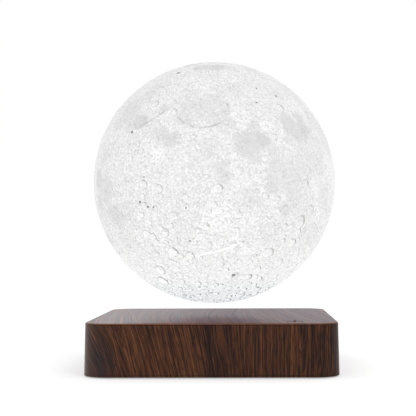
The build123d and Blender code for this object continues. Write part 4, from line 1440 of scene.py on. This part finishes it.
def wound_coil(node, body, inner, pitch, columns):
    """A ring of wound wire in place of a node: a rectangle's outline carried round the axis.

    Inner is the winding's inner radius and pitch the wire's width, both in metres.
    Each point is drawn in towards the middle of the outline by a third of the wire's width times
    1 - |sin|, where the sine runs by half a wave for each turn of wire passed along the outline
    and once more for each time round the axis, so that the turns run in a spiral.
    """
    low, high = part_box(node)
    outer = (high.x - low.x) / 2
    wide, tall = outer - inner, high.z - low.z
    around = 2 * (wide + tall)
    count = round(around / pitch)
    part = np.arange(4 * count) / (4 * count)
    corners = np.cumsum([0, wide, tall, wide, tall])
    reach = np.interp(part * around, corners, [inner, outer, outer, inner, inner])[:, None]
    level = np.interp(part * around, corners, [low.z, low.z, high.z, high.z, low.z])[:, None]
    turn = np.linspace(0, 1, columns, endpoint=False)
    groove = 1 - np.abs(np.sin(math.pi * (count * part[:, None] + turn)))
    middle_reach, middle_level = (inner + outer) / 2, (low.z + high.z) / 2
    deep = groove * pitch / 3
    reach = middle_reach + (reach - middle_reach) * (1 - deep / (wide / 2))
    level = middle_level + (level - middle_level) * (1 - deep / (tall / 2))
    x = (low.x + high.x) / 2 + reach * np.cos(2 * math.pi * turn)
    y = (low.y + high.y) / 2 + reach * np.sin(2 * math.pi * turn)
    index = np.arange(groove.size).reshape(groove.shape)
    beside, above = np.roll(index, -1, axis=1), np.roll(index, -1, axis=0)
    quads = np.stack([index, beside, np.roll(beside, -1, axis=0), above], -1).reshape(-1, 4)
    piece = new_piece(f"{node}_turns", np.stack([x, y, level], -1).reshape(-1, 3), [quads], COPPER)
    store(piece, "groove", groove.ravel())
    stands_for(piece, node, body)


wound_coil("sending_coil", "base", inner=0.030, pitch=0.0008, columns=160)
wound_coil("receiving_coil", "moon", inner=0.008, pitch=0.0006, columns=96)
for k in COILS:
    wound_coil(f"coil_winding_{k}", "base", inner=0.0049, pitch=0.00045, columns=56)


# White nylon: bobbins, the Hall sensors' block, the plate over the float magnet and the light's
# post are moulded in natural nylon, slightly creamy, with a soft sheen.
finish_nodes(
    moulded(
        "natural_nylon", srgb(214, 212, 202), srgb(236, 235, 228), rough=0.42, texture=0.00002,
    ),
    "sensor_block", "magnet_plate", "light_post", *[f"coil_bobbin_{k}" for k in COILS],
)


# Wires: soft red insulation over stranded copper, soldered at both ends. The flux has left
# faint brown smears on it.
def insulation():
    """Red sleeve with paler scuffs and brown flux stains."""
    material, tree, shader = new_material("red_sleeve", 0.35)
    point = place(tree)[0]
    out = use_effect(
        MOTTLE, Point=point, Coarse=0.006, Fine=0.0008,
        Low=srgb(140, 22, 18), High=srgb(186, 40, 32),
    )
    stain = ramp(noise(point, 0.003), 0.62, 0.72)
    plug(shader.inputs["Base Color"], blend_colour(stain, out["Color"], srgb(92, 24, 14)))
    bump(shader, out["Height"], 0.00002)
    return material


finish_nodes(insulation(), "touch_wire", "sending_wire", "light_wire", "receiving_wire")


# LEDs: six white ceramic packages soldered to the light board in a ring. Each has a round cup
# of yellow phosphor in clear resin, which glows.
LED_COUNT = 6
LED_HALF = 0.0020
LED_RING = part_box("leds")[1].x - LED_HALF
LED_WINDOW = (0.00135, 0.00150)
# The cup's half section, in mm across and down, from its middle to its rim.
LED_CUP = [(0.3, 0.06), (0.7, 0.07), (1.1, 0.09), (1.4, 0.13), (1.5, 0.16), (1.58, 0.0)]


def led_face():
    """White packages, with a yellow window on the top in the middle of each."""
    material, tree, shader = new_material("led_face", 0.3)
    point = place(tree)[0]
    away = 1.0
    for turn in 2 * math.pi / LED_COUNT * np.arange(LED_COUNT):
        middle = (LED_RING * math.cos(turn), LED_RING * math.sin(turn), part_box("leds")[1].z)
        away = maths("MINIMUM", away, vector_maths("DISTANCE", point, middle))
    window = ramp(away, *LED_WINDOW, 1.0, 0.0)
    phosphor = use_effect(
        MOTTLE, Point=point, Coarse=0.001, Fine=0.0002,
        Low=srgb(232, 196, 62), High=srgb(250, 224, 110),
    )
    case = use_effect(
        MOTTLE, Point=point, Coarse=0.002, Fine=0.0004,
        Low=srgb(218, 217, 210), High=srgb(238, 238, 234),
    )
    feed(shader, {
        "Base Color": blend_colour(window, case["Color"], phosphor["Color"]),
        "Emission Color": blend_colour(window, (0.0, 0.0, 0.0), phosphor["Color"]),
        "Emission Strength": 0.6,
    })
    bump(shader, case["Height"], 0.00001)
    return material


def leds():
    """Six square packages with a round cup, filled with slightly domed resin.

    They are made in mm. The cup's circles run through the same directions as the square's outline.
    """
    low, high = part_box("leds")
    tall = (high.z - low.z) * 1000
    half = LED_HALF * 1000
    insets, levels = [0.12, 0.0, 0.0, 0.1], [tall, tall - 0.12, 0.15, 0.0]
    square = block(half, half, 0.25, insets, levels)
    way = square[1, :, :2] / np.linalg.norm(square[1, :, :2], axis=1, keepdims=True)
    flat = np.ones(len(way))
    circles = [np.column_stack([reach * way, (tall - deep) * flat]) for reach, deep in LED_CUP]
    points, faces = closed_rows(np.concatenate([circles, square]))
    points, faces = joined(in_ring((points * 0.001, faces), LED_RING, LED_COUNT))
    return new_piece("led_packages", points + [0, 0, low.z], faces, led_face(), crease=40)


stands_for(leds(), "leds", "moon")


# Stage: a plain pale floor under a white sky, which the camera and gloss see as plain white, and
# one soft lamp from the front right.
FLOOR_HALF = 6.0
FLOOR_LIFT = 0.42
SKY_LIGHT = 0.75


def seen_directly(tree):
    """1 for what the camera sees itself, in gloss or through clear things, and 0 for light."""
    rays = tree.nodes.new("ShaderNodeLightPath").outputs
    seen = maths("MAXIMUM", Value(rays["Is Camera Ray"]), Value(rays["Is Glossy Ray"]))
    return maths("MAXIMUM", seen, Value(rays["Is Transmission Ray"]))


def white_ground():
    """Pale floor: matt, and for the camera and gloss lifted to white outside the shadow."""
    material, tree, shader = new_material("pale_floor", 0.9)
    feed(shader, {
        "Base Color": (0.8, 0.8, 0.8),
        "Specular IOR Level": 0.0,
        "Emission Color": (1.0, 1.0, 1.0),
        "Emission Strength": FLOOR_LIFT * seen_directly(tree),
    })
    return material


def white_sky():
    """A white world that lights the lamp less than the camera sees it."""
    world = bpy.data.worlds.new("white_sky")
    bpy.context.scene.world = world
    world.use_nodes = True
    strength = between(seen_directly(world.node_tree), SKY_LIGHT, 1.0)
    feed(world.node_tree.nodes["Background"], {"Color": (1.0, 1.0, 1.0), "Strength": strength})


def sun(name, strength, spread, azimuth, elevation):
    """A soft far lamp that shines from this side (0 is the front) and height, in degrees."""
    lamp = bpy.data.lights.new(name, "SUN")
    lamp.energy = strength
    lamp.angle = math.radians(spread)
    holder = bpy.data.objects.new(name, lamp)
    holder.rotation_euler = (math.radians(90 - elevation), 0, math.radians(azimuth))
    bpy.context.scene.collection.objects.link(holder)


floor_points = FLOOR_HALF * np.array([[-1, -1, 0], [1, -1, 0], [1, 1, 0], [-1, 1, 0]])
new_piece("floor", floor_points, [np.array([[0, 1, 2, 3]])], white_ground())
white_sky()
sun("key_lamp", strength=0.45, spread=30, azimuth=35, elevation=35)


# Camera: nearly level, in front and a little to the right, with a long lens. Its place and aim
# are those of the fit, and its sensor is shifted so that the fit's middle pixel is the centre.
eye = bpy.data.cameras.new("camera")
eye.sensor_width = 36.0
eye.lens = FOCAL_PIXELS / IMAGE * eye.sensor_width
eye.shift_x = (IMAGE / 2 - IMAGE_MIDDLE[0]) / IMAGE
camera = bpy.data.objects.new("camera", eye)
bpy.context.scene.collection.objects.link(camera)
pose = np.eye(4)
pose[:3, 0], pose[:3, 1], pose[:3, 2] = AIM[:, 0], AIM[:, 2], -AIM[:, 1]
pose[:3, 3] = EYE
camera.matrix_world = Matrix(pose.tolist())
bpy.context.scene.camera = camera
bpy.context.scene.view_settings.view_transform = "Standard"
